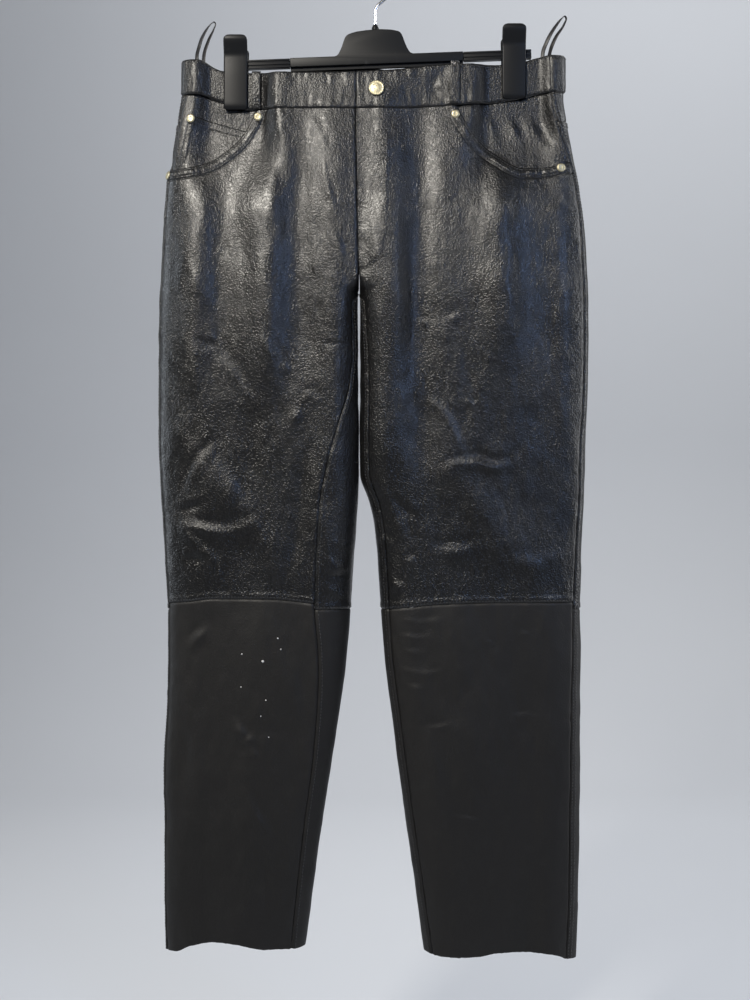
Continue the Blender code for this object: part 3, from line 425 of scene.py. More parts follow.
# The smaller creases, drawn one by one.
CREASES = {
    Face.FRONT: (
        # the upright rolls that the hips hang in
        *creases(
            2, 0.3,
            (12, 3.8, -200, -240, -202, -330, -206, -430),
            (15, 6, -126, -170, -122, -250, -120, -340, -128, -450, -134, -540),
            (15, 6, 22, -178, 24, -260, 20, -360, 26, -470, 30, -560),
            (15, 5.6, 146, -220, 152, -290, 150, -380, 158, -480),
            (11, 2.2, 114, -222, 134, -240, 152, -258, 150, -290, 142, -335),
        ),
        # low rolls beside them
        *creases(
            2, 0.2,
            (13, 2.6, -88, -230, -84, -330, -86, -440, -92, -560),
            (10, 2.2, 214, -250, 222, -340, 224, -480, 222, -620),
        ),
        # broad slack places
        *creases(
            2, 0.4,
            (9, 1.6, -146, -256, -146, -326), (8, -1.5, -152, -300, -150, -372, -156, -420),
            (6, 1, 30, -176, 26, -215, 30, -250), (7, 1.2, -2, -300, 4, -345, 0, -380),
            (8, 1.3, 24, -352, 30, -400, 26, -450), (9, 1.2, 182, -420, 196, -470, 188, -540),
            (9, -1.2, 118, -440, 104, -500, 110, -560), (9, 1.3, -110, -800, -96, -850, -92, -910),
            (9, 1.2, 60, -870, 66, -940, 84, -1020),
        ),
        # the drag from the pocket
        *creases(1.7, 0.4, (7, 1.5, -130, -172, -112, -205, -98, -245, -92, -285)),
        # hips, then thighs, then crumples at the knees, then the lower legs
        *creases(
            1.45, 0.4,
            (4, 0.9, -122, -174, -104, -212), (3.5, 0.8, -112, -173, -94, -198),
            (4, 1, -75, -176, -62, -206, -58, -228), (4, -1.5, -212, -441, -197, -446, -182, -449),
            (5, 2.4, -183, -449, -174, -470, -162, -488, -148, -508, -138, -521),
            (5, 2.1, -134, -427, -127, -446, -120, -461, -114, -505), (3.6, 1.4, -108, -468, -99, -481),
            (5, 1.8, -82, -502, -64, -517), (3.2, -0.9, -64, -445, -48, -448, -30, -448),
            (5, -2.6, -174, -557, -190, -560, -206, -574, -216, -588, -222, -606, -229, -632),
            (4.5, -2, -235, -643, -214, -638, -194, -629),
            (5.5, 2.7, -240, -660, -215, -660, -193, -665, -174, -667, -152, -661, -132, -650),
            (5, 1.7, -229, -656, -213, -676, -201, -695), (5, -2.1, -225, -699, -197, -697),
            (4, 1.6, -201, -684, -192, -694, -184, -703), (5, 1.9, -84, -520, -94, -537, -100, -551),
            (3.6, 1.7, -58, -694, -44, -706, -30, -710), (3.4, -1.6, -60, -716, -46, -718, -28, -714),
            (3.4, 1.6, -57, -730, -44, -738, -31, -738), (3.6, 1.3, -52, -670, -40, -684, -30, -684),
            (5, 2.4, 57, -509, 75, -523, 84, -535, 90, -546, 100, -578),
            (5, 2.6, 72, -599, 92, -588, 119, -586, 139, -592, 158, -588, 176, -577),
            (3.6, 1.2, 49, -419, 63, -427), (3.6, 1.3, 78, -425, 102, -411),
            (3.6, 1.2, 104, -509, 116, -523), (5, 2.2, 0, -599, 14, -630, 28, -662, 43, -689),
            (5, -2, 20, -625, 34, -640, 47, -651), (4, 1.5, 6, -672, 22, -682),
            (4, 1.6, 34, -706, 49, -695), (4, 1.4, 18, -724, 34, -734),
            (6.5, 2, 55, -693, 92, -690, 120, -687, 148, -688), (4, 1, 196, -300, 212, -286),
            (5, 1.8, -217, -804, -204, -788, -191, -776), (5, 1.8, -167, -881, -158, -898, -149, -915),
            (3.2, 1.1, -155, -917, -141, -903), (3.2, 1.1, -143, -917, -138, -931),
            (5, 1.6, -155, -960, -141, -994, -130, -1012, -118, -1028),
            (2.8, 0.6, 26, -768, 52, -772, 84, -768), (2.8, 0.7, 22, -786, 48, -790, 70, -788),
            (2.8, 0.6, 30, -806, 62, -808), (2.8, 0.6, 26, -826, 58, -832, 82, -828),
            (2.8, 0.5, 34, -846, 58, -850), (2.4, 0.6, 168, -784, 182, -786),
            (2.4, 0.6, 126, -793, 140, -798), (2.4, 0.6, 156, -882, 176, -880, 195, -883),
            (2.4, 0.7, 53, -896, 76, -894, 96, -888), (2.4, 0.7, 84, -998, 104, -1000, 127, -1004),
            (2.4, 0.6, 190, -1055, 204, -1059),
        ),
        # sharp creases beside the fly
        *creases(
            1.3, 0.4,
            (3.2, 1.7, -61, -226, -57, -256, -45, -299), (3.2, 1.5, -54, -306, -41, -333, -37, -352),
        ),
        # soft drags down the legs
        *creases(
            1.8, 0.4,
            (7, 1.4, -70, -240, -74, -300, -66, -372),
            (7, -2.8, -82, -559, -86, -612, -88, -664, -98, -700, -105, -728),
            (7, 1.3, -178, -590, -166, -620, -170, -650), (7, 1.4, -232, -500, -224, -540, -230, -580),
            (6, 1.2, -150, -640, -120, -700, -112, -742), (7, 1.4, 150, -700, 190, -704, 228, -690),
            (8, -2.1, -229, -864, -222, -930, -220, -1005),
        ),
        # troughs down the thighs
        *creases(
            1.9, 0.4,
            (9, -2.3, -151, -513, -145, -560, -141, -606), (8, 1.6, -60, -560, -66, -620, -62, -690),
        ),
        # gathers below the clip
        *creases(
            1.7, 0.2,
            (4.2, 1.7, 114, -166, 117, -180, 122, -192), (5, 2.4, 131, -164, 136, -188, 144, -220),
            (4.6, 2.3, 153, -168, 162, -190, 173, -214), (4.2, 1.6, 196, -154, 204, -168, 208, -182),
        ),
        # the longest of them
        *creases(1.8, 0.2, (6.5, 2.8, 174, -158, 184, -188, 196, -212, 224, -230)),
    ),
    Face.BACK: (
        # seat, thighs and knees
        *creases(
            1.45, 0.4,
            (6, 1.6, -186, -300, -160, -330, -128, -350), (5, 1.8, -60, -352, -96, -374, -128, -384),
            (5, 1.9, -40, -382, -78, -408, -120, -420), (5, -1.7, -200, -420, -176, -446, -150, -452),
            (6, 1.6, -64, -430, -92, -462, -104, -500), (5, 1.8, -210, -560, -180, -580, -150, -566),
            (6, -2, -90, -560, -130, -590, -160, -640),
            (5.5, 2.4, -220, -660, -190, -668, -150, -660, -122, -648),
            (5, 1.9, -200, -700, -170, -716, -140, -712), (4, 1.6, -90, -680, -66, -702, -50, -706),
            (4, -1.5, -96, -720, -70, -730, -48, -726), (5, 1.7, -230, -820, -190, -800, -160, -786),
            (6, 1.3, -120, -880, -100, -910, -96, -950), (6, 1.6, 170, -290, 148, -326, 112, -344),
            (5, 1.8, 20, -356, 56, -380, 96, -392), (5, 1.8, 0, -390, 40, -420, 86, -430),
            (5, -1.7, 196, -430, 170, -452, 146, -450), (6, 1.5, 40, -452, 66, -486, 74, -530),
            (5, 1.8, 206, -570, 170, -584, 130, -570), (6, -1.9, 60, -580, 96, -612, 120, -650),
            (5.5, 2.3, 220, -676, 180, -684, 140, -672, 108, -676),
            (4.4, 1.7, 36, -690, 60, -712, 88, -716), (4.2, -1.5, 30, -726, 58, -736, 90, -730),
            (5, 1.5, 214, -800, 180, -786, 140, -782), (6, 1.3, 90, -900, 110, -940, 108, -990),
        ),
        # under the yoke seams
        *creases(
            1.8, 0.4,
            (5, 0.9, -24, -196, -60, -206, -110, -200), (5, 0.9, 20, -196, 62, -204, 116, -196),
        ),
    ),
}
SOFT_LAYERS = (
    (Undulation(11, 46, 120), 1.1),
    (Undulation(12, 21, 46), 0.55),
    (Undulation(13, 9, 20), 0.3),
    (Undulation(14, 4.6, 11), 0.15),
)
(BAND_FOLD,) = creases(1.8, 0.3, (6, -2.2, 90, -112, 76, -130, 68, -144, 74, -158, 84, -172))
BACK_SHIFT = 1300  # moves the back's unevenness away from the front's
BAND_PUCKERS = ((Undulation(21, 5.5, 20), 0.5), (Undulation(22, 3.2, 11), 0.34))


def folds_at(face: Face, x: Array, z: Array) -> Array:
    """How far the large folds stand out of the plain section at each place."""
    total = np.zeros(np.broadcast(x, z).shape)
    for x0, z0, x1, z1, half_width, height in FOLDS[face]:
        run = np.array([x1 - x0, z1 - z0], float)
        length = np.hypot(*run)
        along = ((x - x0) * run[0] + (z - z0) * run[1]) / length
        across = ((x - x0) * run[1] - (z - z0) * run[0]) / length
        past = np.maximum(np.maximum(-along, along - length), 0)
        total += height * np.exp(-((across / half_width) ** 2) - (past / (2 * half_width)) ** 2)
    return total


def hide_relief(points: Array) -> Array:
    """How far creases and unevenness move the hide, at places on the skin.

    Args:
        points: Places as x, y and z in their last axis.

    Returns:
        The move along the skin's outward direction, one for each place.
    """
    x, y, z = (points[..., k].ravel() for k in range(3))
    turned = ramp(y, -2.0, 4.0)
    total = np.zeros(x.shape)
    for face, share in ((Face.FRONT, 1 - turned), (Face.BACK, turned)):
        used = np.flatnonzero(share > 0)
        if not len(used):
            continue
        here = np.zeros(len(used))
        for crease in CREASES[face]:
            crease.add(x[used], z[used], here)
        shifted = x[used] + (0 if face is Face.FRONT else BACK_SHIFT)
        calm = 0.55 + 0.45 * ramp(-z[used], 180, 330)
        for layer, height in SOFT_LAYERS:
            here += height * calm * layer.at(shifted, z[used])
        total[used] += here * share[used]
    quiet = 1 - PRESS.at(x, z) * (1 - ramp(-z, 158, 200))
    return (total * quiet).reshape(points.shape[:-1])


# ---------------------------------------------------------------- the skin


def half_depth(face: Face, x: Array, z: float) -> Array:
    """The distance from the middle plane to the skin, before the ends round off."""
    plain = look_up(DEPTH, face.value, z)
    flat = PRESS.front if face is Face.FRONT else PRESS.back
    pressed = PRESS.at(x, np.asarray(z, float))
    return plain + (flat - plain) * pressed + folds_at(face, x, z) * (1 - pressed)


def inner_fold(side: Side, face: Face, z: float) -> Triple:
    """The inner end of a section.

    Args:
        side: The wearer's side.
        face: The front or the back of the leg.
        z: The section's height.

    Returns:
        The x of the fold, its rounding, and the distance from it to the edge of the piece.
    """
    fork = CUT.front_fork if face is Face.FRONT else CUT.back_fork
    rounding = float(look_up(DEPTH, face.value + "_round", z))
    if z >= CUT.crotch:
        down = min(max((fork - z) / (fork - CUT.crotch), 0), 1)
        rounding = max(down * rounding, 0.01)
        drawn_in = rounding * (1 - down)
        centre = float(look_up(CENTRE, face.value, z))
        return centre + side.outward * (CUT.gap / 2 - drawn_in), rounding, drawn_in
    leg = LEG[side]
    inset = float(look_up(leg, "inseam", z)) * float(ramp(CUT.crotch - z, 0, 14))
    return float(look_up(leg, "inner", z)), rounding, inset


def face_line(side: Side, face: Face, z: float, count: int = 200) -> tuple[Array, Array]:
    """One face of a section, from its inner fold to its outer one.

    Args:
        side: The wearer's side.
        face: The front or the back of the leg.
        z: The section's height.
        count: About how many points.

    Returns:
        The points, and their distances outwards from the inner fold.
    """
    x_in, inner_round, _ = inner_fold(side, face, z)
    x_out = float(look_up(LEG[side], "outer", z))
    outer_round = float(look_up(DEPTH, "outer_round", z))
    width = abs(x_out - x_in)
    turn = np.linspace(0, math.pi / 2, count // 4)
    start = inner_round * (1 - np.cos(turn))
    middle = np.linspace(inner_round, width - outer_round, count // 2)[1:-1]
    inward = np.concatenate([start, middle, width - outer_round * (1 - np.cos(turn[::-1]))])
    x = x_in + side.outward * inward
    at_start = np.minimum(inward / inner_round, 1)
    at_end = np.minimum((width - inward) / outer_round, 1)
    swell = np.sqrt(np.maximum((1 - (1 - at_start) ** 2) * (1 - (1 - at_end) ** 2), 0))
    y = half_depth(face, x, z) * swell * (-1 if face is Face.FRONT else 1)
    return np.stack([x, y], axis=1), inward


def lengths(points: Array) -> Array:
    """Distances along a line of points, from its start."""
    steps = np.linalg.norm(np.diff(points, axis=0), axis=1)
    return np.concatenate([[0], np.cumsum(steps)])


def evened(points: Array, start: float, end: float, count: int, bend: float = 20.0) -> Array:
    """Shares of the way from start to end along a line, closer together where it turns."""
    run = lengths(points)
    heading = np.unwrap(np.arctan2(*np.gradient(points, axis=0).T))
    weight = run + bend * np.concatenate([[0], np.cumsum(np.abs(np.diff(heading)))])
    limits = np.interp([start, end], run, weight)
    at = np.interp(np.linspace(*limits, count), weight, run)
    return (at - start) / (end - start)


class Skin:
    """The chart of one half: levels down the leg, and columns across its front or back."""

    TOP, LOW, STEP, COLUMNS, SETTLE = -98.0, -1176.0, 2.0, 193, 17

    def __init__(self, side: Side, face: Face) -> None:
        """Draw the chart of one side's front or back piece."""
        self.side, self.face = side, face
        self.z = np.arange(self.TOP, self.LOW - self.STEP, -self.STEP)
        sections = [self.section(z) for z in self.z]
        shares = np.array([evened(*section, self.COLUMNS) for section in sections])
        padded = np.pad(shares, ((self.SETTLE, self.SETTLE), (0, 0)), mode="edge")
        windows = np.lib.stride_tricks.sliding_window_view(padded, 2 * self.SETTLE + 1, axis=0)
        rows = []
        for (line, start, end), share in zip(sections, windows.mean(axis=-1)):
            run = lengths(line)
            at = start + (end - start) * share
            rows.append(np.stack([np.interp(at, run, line[:, k]) for k in (0, 1)], axis=1))
        self.xy = np.array(rows)

    def section(self, z: float) -> tuple[Array, float, float]:
        """A level section through the leg, and where along it the piece starts and ends."""
        front, inward = face_line(self.side, Face.FRONT, z)
        back, back_inward = face_line(self.side, Face.BACK, z)
        front_run = lengths(front)
        leg, half_gap = LEG[self.side], CUT.gap / 2
        start = np.interp(inner_fold(self.side, Face.FRONT, z)[2], inward, front_run)
        ahead = float(look_up(leg, "side", z))
        seam = np.interp(inward[-1] - ahead, inward, front_run)
        if self.face is Face.FRONT:
            return front, start + half_gap, seam - half_gap
        loop = np.concatenate([front, back[::-1][1:]])
        if z >= CUT.crotch:
            back_edge = inner_fold(self.side, Face.BACK, z)[2]
            end = lengths(loop)[-1] - np.interp(back_edge, back_inward, lengths(back))
        else:
            end = lengths(loop)[-1] + start
            loop = np.concatenate([loop, front[1:]])
        return loop, seam + half_gap, end - half_gap

    def point(self, c: Array, z: Array) -> Array:
        """Where the skin is at column fraction c and height z."""
        columns = self.COLUMNS - 1
        row = np.clip((self.z[0] - z) / self.STEP, 0, len(self.z) - 1.001)
        column = np.clip(c * columns, 0, columns - 1e-6)
        i, j = row.astype(int), column.astype(int)
        u, v = (row - i)[..., None], (column - j)[..., None]
        near = self.xy[i, j] * (1 - v) + self.xy[i, j + 1] * v
        far = self.xy[i + 1, j] * (1 - v) + self.xy[i + 1, j + 1] * v
        return np.concatenate([near * (1 - u) + far * u, z[..., None]], axis=-1)

    def normal(self, c: Array, z: Array) -> Array:
        """The skin's outward direction."""
        across = self.point(np.clip(c + 0.012, 0, 1), z) - self.point(np.clip(c - 0.012, 0, 1), z)
        down = self.point(c, z - 3.0) - self.point(c, z + 3.0)
        out = np.cross(down, across) * self.side.outward
        return unit(out)

    def column_at(self, x: Array, z: Array) -> Array:
        """The column fraction that lies at x on the flat of a front, at height z."""
        fractions = np.linspace(0, 1, self.COLUMNS)
        found = []
        for one_x, one_z in zip(np.ravel(x), np.ravel(z)):
            xs = self.point(fractions, np.full_like(fractions, one_z))[:, 0] * self.side.outward
            found.append(np.interp(one_x * self.side.outward, np.maximum.accumulate(xs), fractions))
        return np.reshape(found, np.shape(x))

    def grid(
        self, fractions: Array, shares: Array, top: Height, bottom: Height, settle: float | None = None
    ) -> tuple[Array, Array]:
        """Column fractions and heights of a grid between two edges, each a height for every x.

        Args:
            fractions: Column fractions from the first edge to the last.
            shares: Shares of the way from the top edge to the bottom one.
            top: The top edge.
            bottom: The bottom edge.
            settle: Height below which the rows no longer follow the top edge, or None.

        Returns:
            The grid's column fractions and its heights.
        """
        c, share = np.tile(fractions, (len(shares), 1)), shares[:, None]
        z = np.full_like(c, -400.0)
        for _ in range(16):
            x = self.point(c, z)[..., 0]
            high, low = top(x), bottom(x)
            z = high * (1 - share) + low * share
            if settle is not None:
                turn = (np.max(high[0]) - settle) / (np.max(high[0]) - np.mean(low[-1]))
                above = high * (1 - share / turn) + settle * share / turn
                below = settle + (low - settle) * (share - turn) / (1 - turn)
                z = np.where(share < turn, above, below)
        return c, z


SKIN = {(side, face): Skin(side, face) for side in Side for face in Face}


# ---------------------------------------------------------------- finishes


def operator(operation: str, swapped: bool = False) -> Callable:
    """An operator of Socket that adds a Math node, with the plain number first if swapped."""

    def method(self: "Socket", other: "Socket | float") -> "Socket":
        """The sum on this socket and another value."""
        return self.board.maths(operation, *((other, self) if swapped else (self, other)))

    return method


class Socket:
    """An output of a shader node that does arithmetic, adding Math nodes to its board."""

    def __init__(self, board: "Board", output: bpy.types.NodeSocket) -> None:
        """Wrap one output."""
        self.board, self.output = board, output

    __add__, __radd__ = operator("ADD"), operator("ADD", True)
    __sub__, __rsub__ = operator("SUBTRACT"), operator("SUBTRACT", True)
    __mul__, __rmul__ = operator("MULTIPLY"), operator("MULTIPLY", True)

    def __abs__(self) -> "Socket":
        """Size without sign."""
        return self.board.maths("ABSOLUTE", self)

    def over(self, start: float, end: float) -> "Socket":
        """0 where this is below start and 1 where it is above end, smooth between."""
        inputs = {"Value": self, "From Min": start, "From Max": end}
        return self.board.add("ShaderNodeMapRange", {"interpolation_type": "SMOOTHSTEP"}, inputs)["Result"]


class Outputs:
    """The outputs of a node, by name or number."""

    def __init__(self, board: "Board", node: bpy.types.Node) -> None:
        """Wrap one node."""
        self.board, self.node = board, node

    def __getitem__(self, key: str | int) -> Socket:
        """One output."""
        return Socket(self.board, self.node.outputs[key])


class Board:
    """A material's node tree, with one method that adds any node."""

    def __init__(self, name: str) -> None:
        """Start a material that holds only its surface shader."""
        self.material = bpy.data.materials.new(name)
        self.material.use_nodes = True
        self.nodes = self.material.node_tree.nodes
        self.surface = self.nodes["Principled BSDF"]

    def put(self, target: bpy.types.NodeSocket, value: object) -> None:
        """Link a socket to a target, or set a plain value on it."""
        if isinstance(value, Socket):
            self.material.node_tree.links.new(value.output, target)
        else:
            target.default_value = value

    def add(self, kind: str, settings: Mapping | None = None, inputs: Mapping | None = None) -> Outputs:
        """Add a node.

        Args:
            kind: The node's type.
            settings: Its own settings, with a ramp's "stops" as positions and colours.
            inputs: Values or sockets for its inputs, by name or number.

        Returns:
            The node's outputs.
        """
        node = self.nodes.new(kind)
        for key, value in (settings or {}).items():
            if key != "stops":
                setattr(node, key, value)
                continue
            ramp_stops = node.color_ramp.elements
            while len(ramp_stops) < len(value):
                ramp_stops.new(0.5)
            for stop, (position, colour) in zip(ramp_stops, value):
                stop.position, stop.color = position, (*colour, 1)
        for key, value in (inputs or {}).items():
            self.put(node.inputs[key], value)
        return Outputs(self, node)

    def maths(self, operation: str, *values: Socket | float) -> Socket:
        """A Math node on numbers or sockets."""
        return self.add("ShaderNodeMath", {"operation": operation}, dict(enumerate(values)))["Value"]

    def place(self, scale: Triple = (1, 1, 1)) -> Socket:
        """The object's own coordinates, in metres, each multiplied by a number."""
        plain = self.add("ShaderNodeTexCoord")["Object"]
        if scale == (1, 1, 1):
            return plain
        return self.add("ShaderNodeVectorMath", {"operation": "MULTIPLY"}, {0: plain, 1: scale})["Vector"]

    def noise(self, where: Socket, size: float, detail: float = 3.0, rough: float = 0.55) -> Socket:
        """Noise from 0 to 1 with features of a size in millimetres."""
        inputs = {"Vector": where, "Scale": 1 / (size * MM), "Detail": detail, "Roughness": rough}
        return self.add("ShaderNodeTexNoise", {}, inputs)["Fac"]

    def cells(self, where: Socket, size: float, feature: str = "F1") -> Socket:
        """Distance inside pebbles of a size in millimetres, 0 at their middles."""
        inputs = {"Vector": where, "Scale": 1 / (size * MM), "Randomness": 1.0}
        return self.add("ShaderNodeTexVoronoi", {"feature": feature}, inputs)["Distance"]

    def blend(self, factor: Socket, low: tuple, high: tuple) -> Socket:
        """A colour between two, by a factor from 0 to 1."""
        return self.add("ShaderNodeMix", {"data_type": "RGBA"}, {0: factor, 6: (*low, 1), 7: (*high, 1)})[2]

    def relief(self, height: Socket, depth: float) -> Socket:
        """A bumped normal from a height between 0 and 1, whose full depth is in millimetres."""
        inputs = {"Strength": 1.0, "Distance": depth * MM, "Height": height}
        return self.add("ShaderNodeBump", {}, inputs)["Normal"]

    def finish(self, **inputs: object) -> Material:
        """The material, with the surface shader's inputs set; their names have _ for a space."""
        for key, value in inputs.items():
            self.put(self.surface.inputs[key.replace("_", " ")], value)
        return self.material


@dataclass(frozen=True)
class LeatherFinish:
    """Black nappa: pebbled grain, drawn wrinkles and a satin top coat.

    Attributes:
        name: Name of the finish.
        colour: The dye.
        rubbed: Its colour where the crowns are rubbed.
        roughness: Of the top coat.
        spread: How much the roughness varies.
        pebble: Size of a grain pebble, in millimetres.
        pebble_depth: Relief of the pebbles, in millimetres.
        wrinkle: Width of the drawn wrinkles, in millimetres.
        wrinkle_depth: Their relief.
        stretch: How much longer than wide a wrinkle is.
        coat: Weight of the thin polish.
        specular: Strength of the surface reflection.
    """

    name: str
    colour: Triple = (0.0075, 0.0073, 0.0075)
    rubbed: Triple = (0.015, 0.0145, 0.014)
    roughness: float = 0.26
    spread: float = 0.12
    pebble: float = 2.1
    pebble_depth: float = 0.24
    wrinkle: float = 4.2
    wrinkle_depth: float = 0.4
    stretch: float = 3.2
    coat: float = 0.25
    specular: float = 0.5

    def material(self) -> Material:
        """Make the material."""
        board = Board(self.name)
        where = board.place()
        drawn = board.place((1, 1, 1 / self.stretch))
        pebbles = 1 - board.cells(where, self.pebble).over(0.1, 0.75)
        wrinkles = 1 - (abs(board.noise(drawn, self.wrinkle, 5.0, 0.6) - 0.5) * 5).over(0.0, 1.0)
        fine = board.noise(where, 0.7, 2.0)
        patches = board.noise(where, 60, 4.0)
        worn = board.noise(where, 18, 5.0, 0.65).over(0.5, 0.75)
        total = self.pebble_depth + self.wrinkle_depth
        gate = 0.35 + patches.over(0.35, 0.62) * 0.65
        drawn_in = wrinkles * gate * (self.wrinkle_depth / total)
        height = pebbles * (self.pebble_depth / total) - drawn_in + fine * 0.06
        rough = self.roughness + (patches - 0.5) * self.spread + wrinkles * 0.05 + worn * 0.04
        return board.finish(
            Base_Color=board.blend(worn * 0.6 + pebbles * 0.25, self.colour, self.rubbed),
            Roughness=rough,
            Normal=board.relief(height, total),
            Specular_IOR_Level=self.specular,
            Coat_Weight=self.coat,
            Coat_Roughness=0.32,
        )


@dataclass(frozen=True)
class ThreadFinish:
    """Twisted sewing thread."""

    name: str = "sewing_thread"
    colour: Triple = (0.016, 0.016, 0.017)

    def material(self) -> Material:
        """Make the material."""
        board = Board(self.name)
        twist = board.noise(board.place(), 0.35, 2.0)
        lit = tuple(min(2.2 * channel, 1.0) for channel in self.colour)
        return board.finish(
            Base_Color=board.blend(twist, self.colour, lit),
            Roughness=0.34 + twist * 0.2,
            Normal=board.relief(twist, 0.08),
            Sheen_Weight=0.25,
        )


@dataclass(frozen=True)
class BrassFinish:
    """Pale aged brass, pitted and duller in its hollows."""

    name: str = "aged_brass"
    bright: Triple = (0.68, 0.62, 0.43)
    aged: Triple = (0.22, 0.18, 0.1)

    def material(self) -> Material:
        """Make the material."""
        board = Board(self.name)
        where = board.place()
        pits = board.cells(where, 0.9).over(0.05, 0.4)
        mottle = board.noise(where, 2.2, 4.0, 0.6)
        return board.finish(
            Base_Color=board.blend(pits * 0.55 + mottle * 0.5, self.aged, self.bright),
            Metallic=0.86,
            Roughness=0.5 - mottle.over(0.4, 0.7) * 0.16,
            Normal=board.relief(pits + mottle * 0.4, 0.22),
        )


@dataclass(frozen=True)
class PlasticFinish:
    """Moulded black plastic with a fine satin texture and a few scuffs."""

    name: str = "moulded_plastic"
    colour: Triple = (0.0105, 0.0112, 0.0125)
    scuffed: Triple = (0.036, 0.038, 0.041)
    roughness: float = 0.36

    def material(self) -> Material:
        """Make the material."""
        board = Board(self.name)
        where = board.place()
        texture = board.noise(where, 0.5, 2.0)
        scuffs = board.noise(board.place((1, 1, 0.25)), 9, 6.0, 0.7).over(0.6, 0.8)
        return board.finish(
            Base_Color=board.blend(scuffs, self.colour, self.scuffed),
            Roughness=self.roughness + scuffs * 0.15 + texture * 0.08,
            Normal=board.relief(texture, 0.02),
            Specular_IOR_Level=0.22,
        )


@dataclass(frozen=True)
class RibbonFinish:
    """Narrow black satin ribbon with a fine warp."""

    name: str = "satin_ribbon"
    colour: Triple = (0.006, 0.006, 0.007)

    def material(self) -> Material:
        """Make the material."""
        board = Board(self.name)
        warp = board.noise(board.place((1, 1, 0.12)), 0.5, 2.0)
        lit = tuple(3 * channel for channel in self.colour)
        return board.finish(
            Base_Color=board.blend(warp, self.colour, lit),
            Roughness=0.34 + warp * 0.16,
            Normal=board.relief(warp, 0.06),
            Sheen_Weight=0.1,
        )


@dataclass(frozen=True)
class SteelFinish:
    """Bright plated wire with fine drawing lines."""

    name: str = "plated_wire"

    def material(self) -> Material:
        """Make the material."""
        board = Board(self.name)
        drawn = board.noise(board.place((1, 1, 0.05)), 0.4, 2.0)
        dull = board.noise(board.place(), 7, 4.0).over(0.5, 0.75)
        return board.finish(
            Base_Color=board.blend(dull, (0.82, 0.82, 0.84), (0.6, 0.6, 0.62)),
            Metallic=1.0,
            Roughness=0.16 + dull * 0.14 + drawn * 0.05,
            Normal=board.relief(drawn, 0.02),
        )


@dataclass(frozen=True)
class PaperFinish:
    """Pale seamless paper for the studio floor."""

    name: str = "studio_paper"
    colour: Triple = (0.62, 0.635, 0.665)

    def material(self) -> Material:
        """Make the material."""
        board = Board(self.name)
        cloud = board.noise(board.place(), 900, 2.0)
        lit = tuple(1.06 * channel for channel in self.colour)
        return board.finish(Base_Color=board.blend(cloud, self.colour, lit), Roughness=0.9)


# ---------------------------------------------------------------- meshes


class Looks:
    """Every finish, made once."""

    def __init__(self) -> None:
        """Make the materials."""
        self.upper = LeatherFinish("leather_upper").material()
        # The lower legs' copy of the leather is rougher and barely coated. Its colour is lighter and warmer
        # than the upper copy's, partly a different finish and partly painted light for how the hanging lower
        # legs are lit.
        self.lower = LeatherFinish(
            "leather_lower",
            colour=(0.0125, 0.0115, 0.0108),
            rubbed=(0.018, 0.0168, 0.0155),
            roughness=0.5,
            spread=0.08,
            pebble_depth=0.05,
            wrinkle=3.6,
            wrinkle_depth=0.1,
            stretch=1.4,
            coat=0.05,
            specular=0.4,
        ).material()
        self.band = LeatherFinish("leather_band", roughness=0.32, wrinkle_depth=0.3, stretch=2.6).material()
        self.thread = ThreadFinish().material()
        self.loose_thread = ThreadFinish("loose_thread", (0.42, 0.4, 0.39)).material()
        self.brass = BrassFinish().material()
        self.plastic = PlasticFinish().material()
        self.ribbon = RibbonFinish().material()
        self.steel = SteelFinish().material()
        self.lint = ThreadFinish("dried_specks", (0.55, 0.53, 0.5)).material()


def put_in_scene(name: str, data: bpy.types.ID) -> Piece:
    """A new object in the scene's own collection."""
    made = bpy.data.objects.new(name, data)
    bpy.context.scene.collection.objects.link(made)
    return made


def make_piece(
    name: str,
    points: Array,
    faces: Sequence[Sequence[int]],
    look: Material,
    slot: Slot,
    replaced: Sequence[str] = (),
    sharp: float | None = None,
) -> Piece:
    """Make a closed mesh that rides on the part.

    Args:
        name: The piece's name.
        points: Its points, in millimetres.
        faces: Its faces, as point numbers.
        look: Its material.
        slot: The record's slot that the finish comes from.
        replaced: Solids that the piece stands for.
        sharp: Angle in degrees above which edges stay sharp, or None for all smooth.

    Returns:
        The new object.
    """
    mesh = bpy.data.meshes.new(name)
    mesh.from_pydata((np.asarray(points, float) * MM).tolist(), [], faces)
    shape = bmesh.new()
    shape.from_mesh(mesh)
    bmesh.ops.recalc_face_normals(shape, faces=shape.faces)
    shape.to_mesh(mesh)
    shape.free()
    mesh.shade_smooth()
    if sharp is not None:
        mesh.set_sharp_from_angle(angle=math.radians(sharp))
    mesh.materials.append(look)
    made = put_in_scene(f"{name}_{slot.suffix}" if replaced else name, mesh)
    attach(made, "root")
    if replaced:
        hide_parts(*replaced)
    return made


def grid_faces(rows: int, columns: int, first: int = 0, closed: bool = False) -> list[tuple[int, ...]]:
    """Quads of a grid of points.

    Args:
        rows: Number of rows.
        columns: Number of columns.
        first: Number of the grid's first point.
        closed: Whether the last column joins the first.

    Returns:
        The faces.
    """
    index = first + np.arange(rows * columns).reshape(rows, columns)
    right = np.roll(index, -1, axis=1) if closed else index[:, 1:]
    left = index if closed else index[:, :-1]
    quads = np.stack([left[:-1], right[:-1], right[1:], left[1:]], axis=-1).reshape(-1, 4)
    return [tuple(quad) for quad in quads.tolist()]


def tube_faces(rows: int, sides: int, first: int = 0) -> list[tuple[int, ...]]:
    """Faces of a closed tube whose rings are the rows of a grid, with both its ends."""
    last = first + (rows - 1) * sides
    ends = [tuple(range(first, first + sides)), tuple(range(last, last + sides))]
    return grid_faces(rows, sides, first, closed=True) + ends


